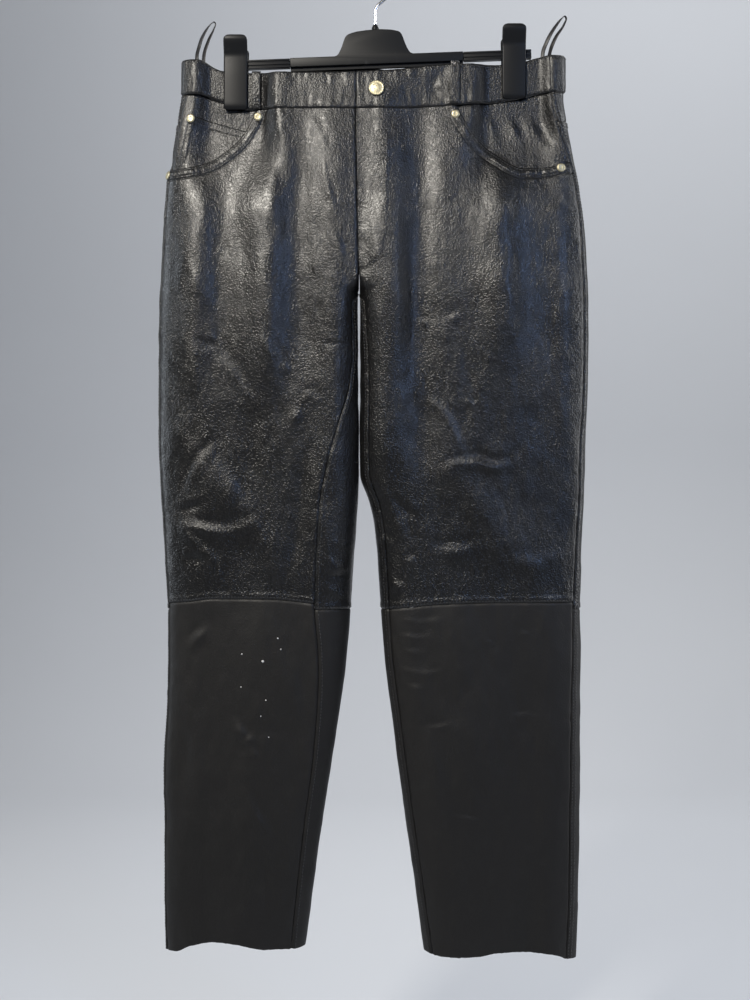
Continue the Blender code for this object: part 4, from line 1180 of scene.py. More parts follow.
def shell(outer: Array, inner: Array, rows: Array, columns: Array) -> tuple[Array, list]:
    """A closed sheet from a fine outer grid and a coarse inner one.

    Args:
        outer: Fine grid of the outer side.
        inner: Coarse grid of the inner side.
        rows: Fine rows that the coarse rows lie under.
        columns: Fine columns that the coarse columns lie under.

    Returns:
        Points and faces.
    """
    count, wide = outer.shape[:2]
    index = np.arange(count * wide).reshape(count, wide)
    under = count * wide + np.arange(len(rows) * len(columns)).reshape(len(rows), len(columns))
    faces = grid_faces(count, wide)
    faces += [face[::-1] for face in grid_faces(len(rows), len(columns), count * wide)]
    borders = (
        (index[0], under[0], columns),
        (index[-1], under[-1], columns),
        (index[:, 0], under[:, 0], rows),
        (index[:, -1], under[:, -1], rows),
    )
    for line, below, marks in borders:
        for k in range(len(marks) - 1):
            span = line[marks[k] : marks[k + 1] + 1].tolist()
            faces.append((*span, int(below[k + 1]), int(below[k])))
    return np.concatenate([outer.reshape(-1, 3), inner.reshape(-1, 3)]), faces


def marks(length: float, pitch: float, close: Sequence[float] = (0.5, 1.1, 1.8, 2.7, 3.9, 5.4)) -> Array:
    """Shares of a length: even steps of a pitch, with more marks close to both ends."""
    count = max(2, round((length - 2 * close[-1] - 2 * pitch) / pitch) + 1)
    middle = np.linspace(close[-1] + pitch, length - close[-1] - pitch, count)
    near = np.array([0.0, *close])
    return np.concatenate([near, middle, length - near[::-1]]) / length


@dataclass(frozen=True)
class SeamEdge:
    """How the hide behaves beside one edge of a cut piece.

    Attributes:
        roll: How far it turns down at the edge.
        roll_width: How wide that turn is.
        lift: How far the seam allowance under it raises it.
        lift_width: How wide the allowance is.
        pucker: Height of the puckers that the stitching draws.
        pitch: Length of a pucker.
    """

    roll: float = 0.9
    roll_width: float = 1.4
    lift: float = 0.0
    lift_width: float = 7.0
    pucker: float = 0.25
    pitch: float = 7.0

    def at(self, inset: Array, run: Array, seed: int) -> Array:
        """How far the hide moves, at distances in from the edge and along it."""
        drawn = waver(seed, self.pitch, run)
        raised = self.lift * (1 - ramp(inset, self.lift_width - 0.9, self.lift_width + 0.9))
        rolled = self.roll * bell(inset, self.roll_width)
        return raised - rolled + self.pucker * drawn * bell(inset, 1.3 * self.pitch)


PLAIN_SEAM = SeamEdge()
LAPPED_SEAM = SeamEdge(lift=0.6)
RAW_EDGE = SeamEdge(roll=0.15, roll_width=0.8, pucker=0.5, pitch=34.0)
BAND_EDGE = SeamEdge(roll=1.2, roll_width=1.3, pucker=0.2, pitch=5.0)


def level_distance(points: Array, line: Array) -> tuple[Array, Array]:
    """Distance of places from a drawn line, seen straight on.

    Args:
        points: Places as x, y and z in their last axis.
        line: The line's points, as x and z.

    Returns:
        The distances, and how far along the line the nearest point lies.
    """
    flat = points.reshape(-1, 3)[:, [0, 2]]
    runs = lengths(line)
    dense_at = np.linspace(0, runs[-1], 500)
    dense = np.stack([np.interp(dense_at, runs, line[:, k]) for k in (0, 1)], axis=1)
    off, run = np.empty(len(flat)), np.empty(len(flat))
    for start in range(0, len(flat), 4000):
        gaps = np.linalg.norm(flat[start : start + 4000, None] - dense[None], axis=2)
        nearest = gaps.argmin(axis=1)
        off[start : start + 4000] = gaps[np.arange(len(gaps)), nearest]
        run[start : start + 4000] = dense_at[nearest]
    return off.reshape(points.shape[:-1]), run.reshape(points.shape[:-1])


@dataclass
class Panel:
    """One cut piece of hide: a patch of the skin with its own wall, edges and creases.

    Attributes:
        name: The piece's name.
        side: The wearer's side.
        face: The front or the back.
        top: Height of its upper edge at each x.
        bottom: Height of its lower edge at each x.
        look: Its finish.
        columns: First and last column fractions.
        pitch: Size of a mesh cell, in millimetres.
        out: How far its outer side stands off the skin.
        wall: Its thickness.
        edges: How it behaves beside each edge.
        creased: Share of the creases that it takes.
        extra: Its own moves, from the piece itself.
        seed: Start of its random numbers.
        coarse: How many outer cells one inner cell spans.
        deep: Height that its rows are worked out for, or None for its own.
        settle: Height below which its rows no longer follow the top edge, or None.
    """

    name: str
    side: Side
    face: Face
    top: Height
    bottom: Height
    look: Material
    columns: tuple[float, float] = (0.0, 1.0)
    pitch: float = 2.2
    out: float = 0.0
    wall: float = CUT.leather
    edges: Mapping[Edge, SeamEdge] = field(default_factory=dict)
    creased: float = 1.0
    extra: "Callable[[Panel], Array] | None" = None
    seed: int = 100
    coarse: int = 3
    deep: float | None = None
    settle: float | None = None

    def shape(self) -> None:
        """Work out the outer grid, its directions, its insets from the edges, its flat size and its area."""
        skin = SKIN[self.side, self.face]
        first, last = self.columns
        probe = skin.grid(np.linspace(first, last, 60), np.linspace(0, 1, 9), self.top, self.bottom)
        rough = skin.point(*probe)
        width = np.linalg.norm(np.diff(rough, axis=1), axis=2).sum(axis=1).max()
        height = self.deep or np.linalg.norm(np.diff(rough, axis=0), axis=2).sum(axis=0).max()
        fractions = first + (last - first) * marks(width, self.pitch)
        self.c, self.z = skin.grid(fractions, marks(height, self.pitch), self.top, self.bottom, self.settle)
        self.base, self.normals = skin.point(self.c, self.z), skin.normal(self.c, self.z)
        along = np.linalg.norm(np.diff(self.base, axis=1), axis=2)
        down = np.linalg.norm(np.diff(self.base, axis=0), axis=2)
        zero_column, zero_row = np.zeros((len(self.c), 1)), np.zeros((1, self.c.shape[1]))
        across = np.concatenate([zero_column, np.cumsum(along, axis=1)], axis=1)
        fall = np.concatenate([zero_row, np.cumsum(down, axis=0)], axis=0)
        self.inset = {
            Edge.START: across,
            Edge.END: across[:, -1:] - across,
            Edge.TOP: fall,
            Edge.BOTTOM: fall[-1:] - fall,
        }
        self.flat = (across[:, -1].max() * MM, fall[-1].max() * MM)
        sides = np.cross(self.base[1:, 1:] - self.base[:-1, :-1], self.base[1:, :-1] - self.base[:-1, 1:])
        self.area = np.linalg.norm(sides, axis=-1).sum() / 2 * MM * MM
        self.move = self.creased * hide_relief(self.base)
        for number, (where, style) in enumerate(self.edges.items()):
            run = self.base[..., 2] if where in (Edge.START, Edge.END) else self.base[..., 0]
            self.move = self.move + style.at(self.inset[where], run, self.seed + number)
        if self.extra:
            self.move = self.move + self.extra(self)
        self.outer = self.base + self.normals * (self.out + self.move)[..., None]

    def inner(self) -> tuple[Array, Array, Array]:
        """The coarse inner grid, which stays a wall below the lowest part of the outer side near it."""
        step = self.coarse
        rows = np.unique([*range(0, len(self.c), step), len(self.c) - 1])
        columns = np.unique([*range(0, self.c.shape[1], step), self.c.shape[1] - 1])
        padded = np.pad(self.move, step, mode="edge")
        windows = np.lib.stride_tricks.sliding_window_view(padded, (2 * step + 1, 2 * step + 1))
        lowest = windows.min(axis=(2, 3))[np.ix_(rows, columns)]
        place, normal = self.base[np.ix_(rows, columns)], self.normals[np.ix_(rows, columns)]
        return place + normal * (self.out - self.wall + lowest)[..., None], rows, columns

    def build(self) -> Piece:
        """Make the piece, which stands for the solid of its own name."""
        self.shape()
        inner, rows, columns = self.inner()
        points, faces = shell(self.outer, inner, rows, columns)
        self.object = make_piece(self.name, points, faces, self.look, Slot.LEATHER, [self.name])
        return self.object

    def declare(self, with_pieces: Sequence[Piece] = ()) -> None:
        """Does nothing; the size that the piece was cut to is not stated."""

    def line(self, where: Edge, inset: float) -> tuple[Array, Array]:
        """A line on the outer side, parallel to an edge.

        Args:
            where: The edge.
            inset: Distance in from it.

        Returns:
            The line's points and its outward directions.
        """
        insets, outer, normals = self.inset[where], self.outer, self.normals
        if where in (Edge.TOP, Edge.BOTTOM):
            insets, outer, normals = insets.T, outer.swapaxes(0, 1), normals.swapaxes(0, 1)
        backwards = where in (Edge.END, Edge.BOTTOM)
        if backwards:
            insets, outer, normals = insets[:, ::-1], outer[:, ::-1], normals[:, ::-1]
        points, ups = [], []
        for row, places, directions in zip(insets, outer, normals):
            points.append([np.interp(inset, row, places[:, k]) for k in range(3)])
            ups.append([np.interp(inset, row, directions[:, k]) for k in range(3)])
        return np.array(points), np.array(ups)


class Stitch(Enum):
    """Kinds of stitch: its length, the gap after it and the thread's radius."""

    POCKET = (2.3, 0.9, 0.46)
    COIN = (2.3, 0.9, 0.44)
    FACING = (2.4, 0.9, 0.44)
    SIDE_SEAM = (2.8, 1.0, 0.48)
    SEAM = (2.8, 1.0, 0.46)
    BAND = (2.5, 1.0, 0.46)
    FLY = (2.5, 0.9, 0.46)
    OVERCAST = (2.6, 1.5, 0.4)
    LOOP = (2.4, 0.9, 0.3)
    TACK = (1.6, 0.25, 0.3)


class Thread:
    """Stitches gathered into one mesh."""

    SIDES = 5

    def __init__(self, name: str) -> None:
        """Start with no stitches."""
        self.name = name
        self.points: list[Array] = []

    def sew(self, line: Array, ups: Array, kind: Stitch) -> None:
        """Sew along a line.

        Args:
            line: The line's points.
            ups: Outward directions there.
            kind: The kind of stitch, of which overcasting lies across the line.
        """
        (length, gap, radius), across = kind.value, kind is Stitch.OVERCAST
        run = lengths(line)
        pitch = gap + (2 * radius if across else length)
        middles = np.arange(pitch / 2, run[-1], pitch)
        if not len(middles):
            return
        reach = length / 2

        def read(at: Array, rows: Array) -> Array:
            return np.stack([np.interp(at, run, rows[:, k]) for k in range(3)], axis=1)

        centre, up = read(middles, line), read(middles, ups)
        tangent = read(np.minimum(middles + 1, run[-1]), line) - read(np.maximum(middles - 1, 0), line)
        up = unit(up)
        side = unit(np.cross(tangent, up))
        ahead = side if across else np.cross(up, side)
        beside = np.cross(ahead, up)
        stations = np.array([-1.0, -0.72, 0.72, 1.0]) * reach
        swell = np.array([0.35, 1.0, 1.0, 0.35]) * radius
        sink = np.array([-0.9, 0.25, 0.25, -0.9]) * radius
        angle = 2 * math.pi * np.arange(self.SIDES) / self.SIDES
        if across:
            spine = centre[:, None] + ahead[:, None] * stations[:, None]
        else:
            ends = [read(np.clip(middles + s, 0, run[-1]), line) for s in stations]
            spine = np.stack(ends, axis=1)
        spine = spine + up[:, None] * sink[:, None]
        spoke = (
            beside[:, None, None] * np.cos(angle)[:, None] + up[:, None, None] * np.sin(angle)[:, None]
        ) * swell[:, None, None]
        self.points.append((spine[:, :, None] + spoke).reshape(-1, 4 * self.SIDES, 3))

    def build(self, look: Material) -> Piece:
        """Make the stitches sewn so far into one piece."""
        stitches = np.concatenate(self.points)
        one = tube_faces(4, self.SIDES)
        faces = [tuple(k + n * 4 * self.SIDES for k in face) for n in range(len(stitches)) for face in one]
        return make_piece(self.name, stitches.reshape(-1, 3), faces, look, Slot.LEATHER)


class Surface:
    """A built piece that lines can be laid on."""

    def __init__(self, made: Piece) -> None:
        """Index the piece's faces."""
        mesh = made.data
        corners = np.empty(len(mesh.vertices) * 3)
        mesh.vertices.foreach_get("co", corners)
        faces = [tuple(face.vertices) for face in mesh.polygons]
        self.tree = BVHTree.FromPolygons(corners.reshape(-1, 3).tolist(), faces)

    def lay(self, points: Array, ups: Array) -> Array:
        """Points moved on to the piece along their outward directions."""
        laid = []
        for point, up in zip(points, ups):
            start = Vector((point + up * 8) * MM)
            hit = self.tree.ray_cast(start, -Vector(up), 0.02)[0]
            laid.append(np.array(hit) / MM if hit else point)
        return np.array(laid)


def drawn_line(side: Side, line: Array, spacing: float = 1.5) -> tuple[Array, Array]:
    """Points of the front's skin below a drawn line, and the directions out of it.

    Args:
        side: The wearer's side.
        line: The line's points, as x and z.
        spacing: Distance between the points.

    Returns:
        The points and their outward directions.
    """
    run = lengths(line)
    at = np.linspace(0, run[-1], max(3, int(run[-1] / spacing)))
    x, z = (np.interp(at, run, line[:, k]) for k in (0, 1))
    skin = SKIN[side, Face.FRONT]
    c = skin.column_at(x, z)
    return skin.point(c, z), skin.normal(c, z)


# ---------------------------------------------------------------- the trousers


def seam_above(rows: Columns, column: str = "z") -> Height:
    """The lower edge of a piece that ends above a seam."""
    return edge(rows, column, CUT.gap / 2)


def seam_below(rows: Columns, column: str = "z") -> Height:
    """The upper edge of a piece that begins below a seam."""
    return edge(rows, column, -CUT.gap / 2)


def scoop_line(side: Side, shift: float = 0.0) -> Array:
    """The pocket's curved edge as x and z, moved in by shift."""
    rows = SCOOP[side]
    x = np.linspace(rows["x"][0], rows["x"][-1], 160)
    line = np.stack([x, look_up(rows, "z", x)], axis=1)
    slope = unit(np.gradient(line, axis=0))
    down = np.stack([slope[:, 1], -slope[:, 0]], axis=1)
    down *= np.where(down[:, 1:] > 0, -1, 1)
    return line + shift * down


SCOOP_ROWS = (2.4, 9.2)  # where a pocket's two rows of stitches run, in from its edge


def pocket_start(side: Side) -> float:
    """Where the pocket's scoop leaves the waist seam."""
    return float(SCOOP[side]["x"][-1 if side is Side.RIGHT else 0])


def front_top(side: Side) -> Height:
    """The front's upper edge: the waist seam, then the scoop of the pocket."""
    seam, scoop, start = seam_below(BAND, "seam"), edge(SCOOP[side]), pocket_start(side)

    def height(x: Array) -> Array:
        """The edge's height at each x."""
        outside = (np.asarray(x) - start) * side.outward > 0
        return np.where(outside, np.minimum(seam(x), scoop(x)), seam(x))

    return height


def front_column(side: Side, number: int, plain: int = 7, scooped: int = 8) -> float:
    """A column fraction of the front, as the solids number them."""
    turn = float(SKIN[side, Face.FRONT].column_at(np.array(pocket_start(side)), np.array(-172.0)))
    after = turn + (1 - turn) * np.linspace(0, 1, scooped + 1)[1:] ** 1.15
    return float(np.concatenate([np.linspace(0, turn, plain), after])[number])


def yoke_seam(side: Side, shift: float) -> Height:
    """The yoke's lower edge, deeper at the centre back than at the side."""
    centre, outer = CENTRE["back"][0], LEG[side]["outer"][0]

    def height(x: Array) -> Array:
        """The edge's height at each x."""
        share = np.clip((np.asarray(x) - centre) / (outer - centre), 0, 1)
        drop = CUT.yoke_centre + (CUT.yoke_side - CUT.yoke_centre) * share
        return look_up(BAND, "seam", x) - drop + shift

    return height


def level(height: float) -> Height:
    """An edge at one height."""
    return lambda x: np.full(np.shape(x), height)


def ragged(side: Side) -> Height:
    """The raw hem, with the small unevenness of a cut edge."""
    hem = edge(HEM[side])
    return lambda x: hem(x) + 0.35 * waver(61, 3.1, np.asarray(x, float))


@dataclass
class SubAssembly:
    """Pieces that are made together.

    Attributes:
        looks: The finishes.
        panels: The cut pieces that it makes, or that its own pieces are sewn to.
    """

    looks: Looks
    panels: dict[str, Panel] = field(default_factory=dict)

    def keep(self, panel: Panel) -> Piece:
        """Build a cut piece and list it."""
        self.panels[panel.name] = panel
        return panel.build()


@dataclass
class Legs(SubAssembly):
    """Fronts, backs and yokes of both legs.

    Attributes:
        band_width: Width of the turned band along a pocket's scoop.
        fly_lift: How far the fly's facing raises the wearer's left front.
        settled: Height below which a front's mesh no longer follows its pocket.
    """

    band_width: float = 11.4
    fly_lift: float = 0.75
    settled: float = -275.0

    def scoop_band(self, panel: Panel) -> Array:
        """The turned, twice-stitched band along a pocket, drawn up in small puckers."""
        move = np.zeros(panel.c.shape)
        x, z = panel.base[..., 0], panel.base[..., 2]
        near = ((x - pocket_start(panel.side)) * panel.side.outward > -16) & (z > -262)
        off, run = level_distance(panel.base[near], scoop_line(panel.side))
        share = np.clip(off / self.band_width, 0, 1)
        doubled = 1 - ramp(off, self.band_width - 0.9, self.band_width + 0.9)
        raised = 0.6 * doubled + 0.7 * np.sin(math.pi * share)
        drawn = waver(41, 2.9, run)
        ripple = 0.62 * drawn * np.sin(math.pi * np.clip(off / (self.band_width + 2), 0, 1))
        rows = sum(bell(off - row, 0.8) for row in SCOOP_ROWS)
        outside = bell(off - self.band_width - 0.7, 0.9)
        move[near] = raised + ripple - 0.4 * rows - 0.7 * outside - 0.8 * bell(off, 1.0)
        return move

    def fly(self, panel: Panel) -> Array:
        """The fly: the wearer's left front is faced and laps over the right one."""
        move = self.scoop_band(panel)
        x, z = panel.base[..., 0], panel.base[..., 2]
        open_part = ramp(z, CUT.front_fork - 8, CUT.front_fork + 4)
        inset = panel.inset[Edge.START]
        if panel.side is Side.RIGHT:
            return move - open_part * (0.7 * bell(inset, 3.0))
        stitched = look_up(FLY_STITCH, "x", z)
        faced = 1 - ramp(x, stitched - 1.3, stitched + 0.9)
        drawn = Undulation(43, 900.0, 6.0).at(np.zeros_like(z), z)
        beside = 0.22 * drawn * bell(x - stitched, 6)
        return move + open_part * (self.fly_lift * faced + beside + 0.8 * bell(inset, 1.2))

    def build(self) -> list[Piece]:
        """Make every leg piece."""
        upper, lower, gap = self.looks.upper, self.looks.lower, CUT.gap / 2
        lapped, plain = {Edge.BOTTOM: LAPPED_SEAM}, {Edge.TOP: PLAIN_SEAM}
        raw = {**plain, Edge.BOTTOM: RAW_EDGE}
        sides = {
            Face.FRONT: {Edge.START: PLAIN_SEAM, Edge.END: PLAIN_SEAM},
            Face.BACK: {
                Edge.START: SeamEdge(lift=0.55, lift_width=6.6),
                Edge.END: SeamEdge(lift=0.45, lift_width=5.4, pucker=0.35),
            },
        }
        made = []
        for number, side in enumerate(Side):
            below, hem, knee = seam_below(KNEE[side]), ragged(side), CUT.back_knee
            cuts = (
                ("front_upper", Face.FRONT, front_top(side), seam_above(KNEE[side]), upper, 1.9, lapped),
                ("front_lower", Face.FRONT, below, hem, lower, 2.3, raw),
                ("yoke", Face.BACK, seam_below(BAND, "seam"), yoke_seam(side, gap), upper, 2.2,
                 {**plain, Edge.BOTTOM: PLAIN_SEAM}),
                ("back_upper", Face.BACK, yoke_seam(side, -gap), level(knee + gap), upper, 2.3,
                 {Edge.TOP: LAPPED_SEAM, **lapped}),
                ("back_lower", Face.BACK, level(knee - gap), hem, lower, 2.6, raw),
            )
            for count, (part, face, top, bottom, look, pitch, ends) in enumerate(cuts):
                own = {"extra": self.fly, "settle": self.settled} if part == "front_upper" else {}
                made.append(self.keep(Panel(
                    f"{part}_{side.value}", side, face, top, bottom, look, pitch=pitch,
                    edges={**sides[face], **ends}, seed=200 + 40 * number + 5 * count, **own,
                )))
        return made


@dataclass
class Pockets(SubAssembly):
    """The facings behind the scoops, and the coin pocket on the wearer's right.

    Attributes:
        facing_out: How far a facing's outer side lies under the skin, by side.
        coin_out: The same for the coin pocket.
        wall: Thickness of the facings.
        meet: How much of its depth a facing gives up where it meets the side seam.
        tuck: How far a facing runs on below the scoop.
        deepest: How far its lowest edge lies below the scoop at a place near the side.
        near_side: Distance of that place from the middle.
    """

    facing_out: Mapping[Side, float] = field(default_factory=lambda: {Side.RIGHT: -3.6, Side.LEFT: -2.4})
    coin_out: float = -2.0
    wall: float = 1.0
    meet: float = 0.92
    tuck: float = 9.0
    deepest: float = 34.0
    near_side: float = 170.0

    def side_seam(self, panel: Panel) -> Array:
        """A facing comes up to the side seam above its scoop."""
        x, z = panel.base[..., 0], panel.base[..., 2]
        above = ramp(z - look_up(SCOOP[panel.side], "z", x), -1.5, 3.0)
        return -self.meet * panel.out * above * bell(panel.inset[Edge.END], 8.0)

    def build(self) -> list[Piece]:
        """Make the facings and the coin pocket."""
        made = []
        for side in Side:
            lowest = float(look_up(SCOOP[side], "z", side.outward * self.near_side)) - self.deepest
            tucked = edge(SCOOP[side], shift=-self.tuck)
            made.append(self.keep(Panel(
                f"pocket_facing_{side.value}", side, Face.FRONT, seam_below(BAND, "seam"),
                lambda x, tucked=tucked, lowest=lowest: np.maximum(tucked(x), lowest), self.looks.upper,
                columns=(front_column(side, 6), 1.0), pitch=1.5, out=self.facing_out[side], wall=self.wall,
                edges={Edge.TOP: SeamEdge(roll=0.5), Edge.END: SeamEdge(roll=0.3)},
                extra=self.side_seam, seed=520,
            )))
        deep, shallow = edge(SCOOP[Side.RIGHT], shift=-6.0), edge(COIN_TOP, shift=-14.0)
        turned = SeamEdge(roll=0.6, roll_width=0.9, lift=0.6, lift_width=9.0, pucker=0.3)
        made.append(self.keep(Panel(
            "coin_pocket", Side.RIGHT, Face.FRONT, edge(COIN_TOP), lambda x: np.minimum(deep(x), shallow(x)),
            self.looks.upper, columns=(front_column(Side.RIGHT, 7), front_column(Side.RIGHT, 13)), pitch=1.4,
            out=self.coin_out, wall=self.wall, edges={Edge.TOP: turned, Edge.END: turned}, seed=540,
        )))
        return made


@dataclass
class Waistband(SubAssembly):
    """The band: two front pieces, the wearer's left lapping over the right, and one back piece.

    Attributes:
        lap: How far the lapping end stands up.
        lap_reach: How far in from that end it settles.
        row_height: Height that every part's rows are worked out for, so that they meet.
    """

    lap: float = 0.9
    lap_reach: float = 22.0
    row_height: float = 46.0

    def puckers(self, panel: Panel) -> Array:
        """Upright puckers between the two rows of edge stitching, strongest beside them."""
        x, z = panel.base[..., 0], panel.base[..., 2]
        shifted = x + (0 if panel.face is Face.FRONT else BACK_SHIFT)
        height = panel.inset[Edge.TOP] / (panel.inset[Edge.TOP] + panel.inset[Edge.BOTTOM])
        strength = 0.25 + 0.75 * np.abs(2 * height - 1) ** 1.2
        drawn = sum(height_of * layer.at(shifted, z) for layer, height_of in BAND_PUCKERS)
        move = 1.35 * drawn * strength * (1 - 0.75 * PRESS.at(x, np.full_like(z, -150.0)))
        for where in (Edge.TOP, Edge.BOTTOM):
            move -= 0.22 * bell(panel.inset[where] - 3.0, 0.9)
        if panel.face is Face.FRONT:
            fold = np.zeros(move.size)
            BAND_FOLD.add(x.ravel(), z.ravel(), fold)
            move += fold.reshape(move.shape)
            end = bell(panel.inset[Edge.START], self.lap_reach)
            edge_line = bell(panel.inset[Edge.START], 1.2)
            move += end * self.lap - 0.5 * edge_line if panel.side is Side.LEFT else -0.6 * edge_line
        return move

    def half(self, side: Side, face: Face) -> Panel:
        """One front piece, or one half of the back piece."""
        return Panel(
            f"waistband_{face.value}_{side.value}", side, face, edge(BAND, f"{face.value}_top"),
            seam_above(BAND, "seam"), self.looks.band, pitch=1.5, out=CUT.band_out,
            wall=CUT.band_out + CUT.band_in,
            edges={Edge.TOP: BAND_EDGE, Edge.BOTTOM: BAND_EDGE},
            extra=self.puckers, seed=600, deep=self.row_height,
        )

    def build(self) -> list[Piece]:
        """Make the three pieces."""
        made = [self.keep(self.half(side, Face.FRONT)) for side in Side]
        right, left = (self.half(side, Face.BACK) for side in Side)
        for panel in (right, left):
            panel.shape()
            self.panels[panel.name] = panel
        (right_in, rows, right_marks), (left_in, _, left_marks) = right.inner(), left.inner()
        outer = self.joined(right.outer, left.outer)
        last = right.outer.shape[1] - 1
        beyond = last + (left.outer.shape[1] - 1 - left_marks[-2::-1])
        columns = np.concatenate([right_marks, beyond])
        points, faces = shell(outer, self.joined(right_in, left_in), rows, columns)
        back = make_piece("waistband_back", points, faces, self.looks.band, Slot.LEATHER, ["waistband_back"])
        return [*made, back]

    @staticmethod
    def joined(right: Array, left: Array) -> Array:
        """Two grids that meet at the centre back, as one."""
        return np.concatenate([right[:, :-1], (right[:, -1:] + left[:, -1:]) / 2, left[:, -2::-1]], axis=1)


@dataclass
class Underlap(SubAssembly):
    """The strip behind the fly's opening.

    Attributes:
        out: How far its outer side lies under the skin.
        wall: Its thickness.
        flat: Width and length that it is cut to, in metres; not used.
        spans: How far it reaches from the opening, by side.
    """

    top: float = -176.0
    bottom: float = -346.0
    out: float = -2.2
    wall: float = 1.0
    flat: tuple[float, float] = (0.038, 0.171)
    spans: Mapping[Side, float] = field(default_factory=lambda: {Side.RIGHT: 16.0, Side.LEFT: 20.0})

    def build(self) -> list[Piece]:
        """Make the strip."""
        outer, inner = [], []
        rows, columns = 60, 12
        for side, span in self.spans.items():
            skin = SKIN[side, Face.FRONT]
            z = np.linspace(self.top, self.bottom, rows)[:, None] * np.ones((1, columns))
            centre = look_up(CENTRE, "front", z)
            c = skin.column_at(centre + side.outward * span * np.linspace(1, 0, columns), z)
            points, normals = skin.point(c, z), skin.normal(c, z)
            sheets = points + normals * self.out, points + normals * (self.out - self.wall)
            for grids, sheet in zip((outer, inner), sheets):
                grids.append(sheet)
        every = [Waistband.joined(*grids) for grids in (outer, inner)]
        wide = every[0].shape[1]
        points, faces = shell(*every, np.arange(rows), np.arange(wide))
        made = make_piece("fly_underlap", points, faces, self.looks.upper, Slot.LEATHER, ["fly_underlap"])
        return [made]


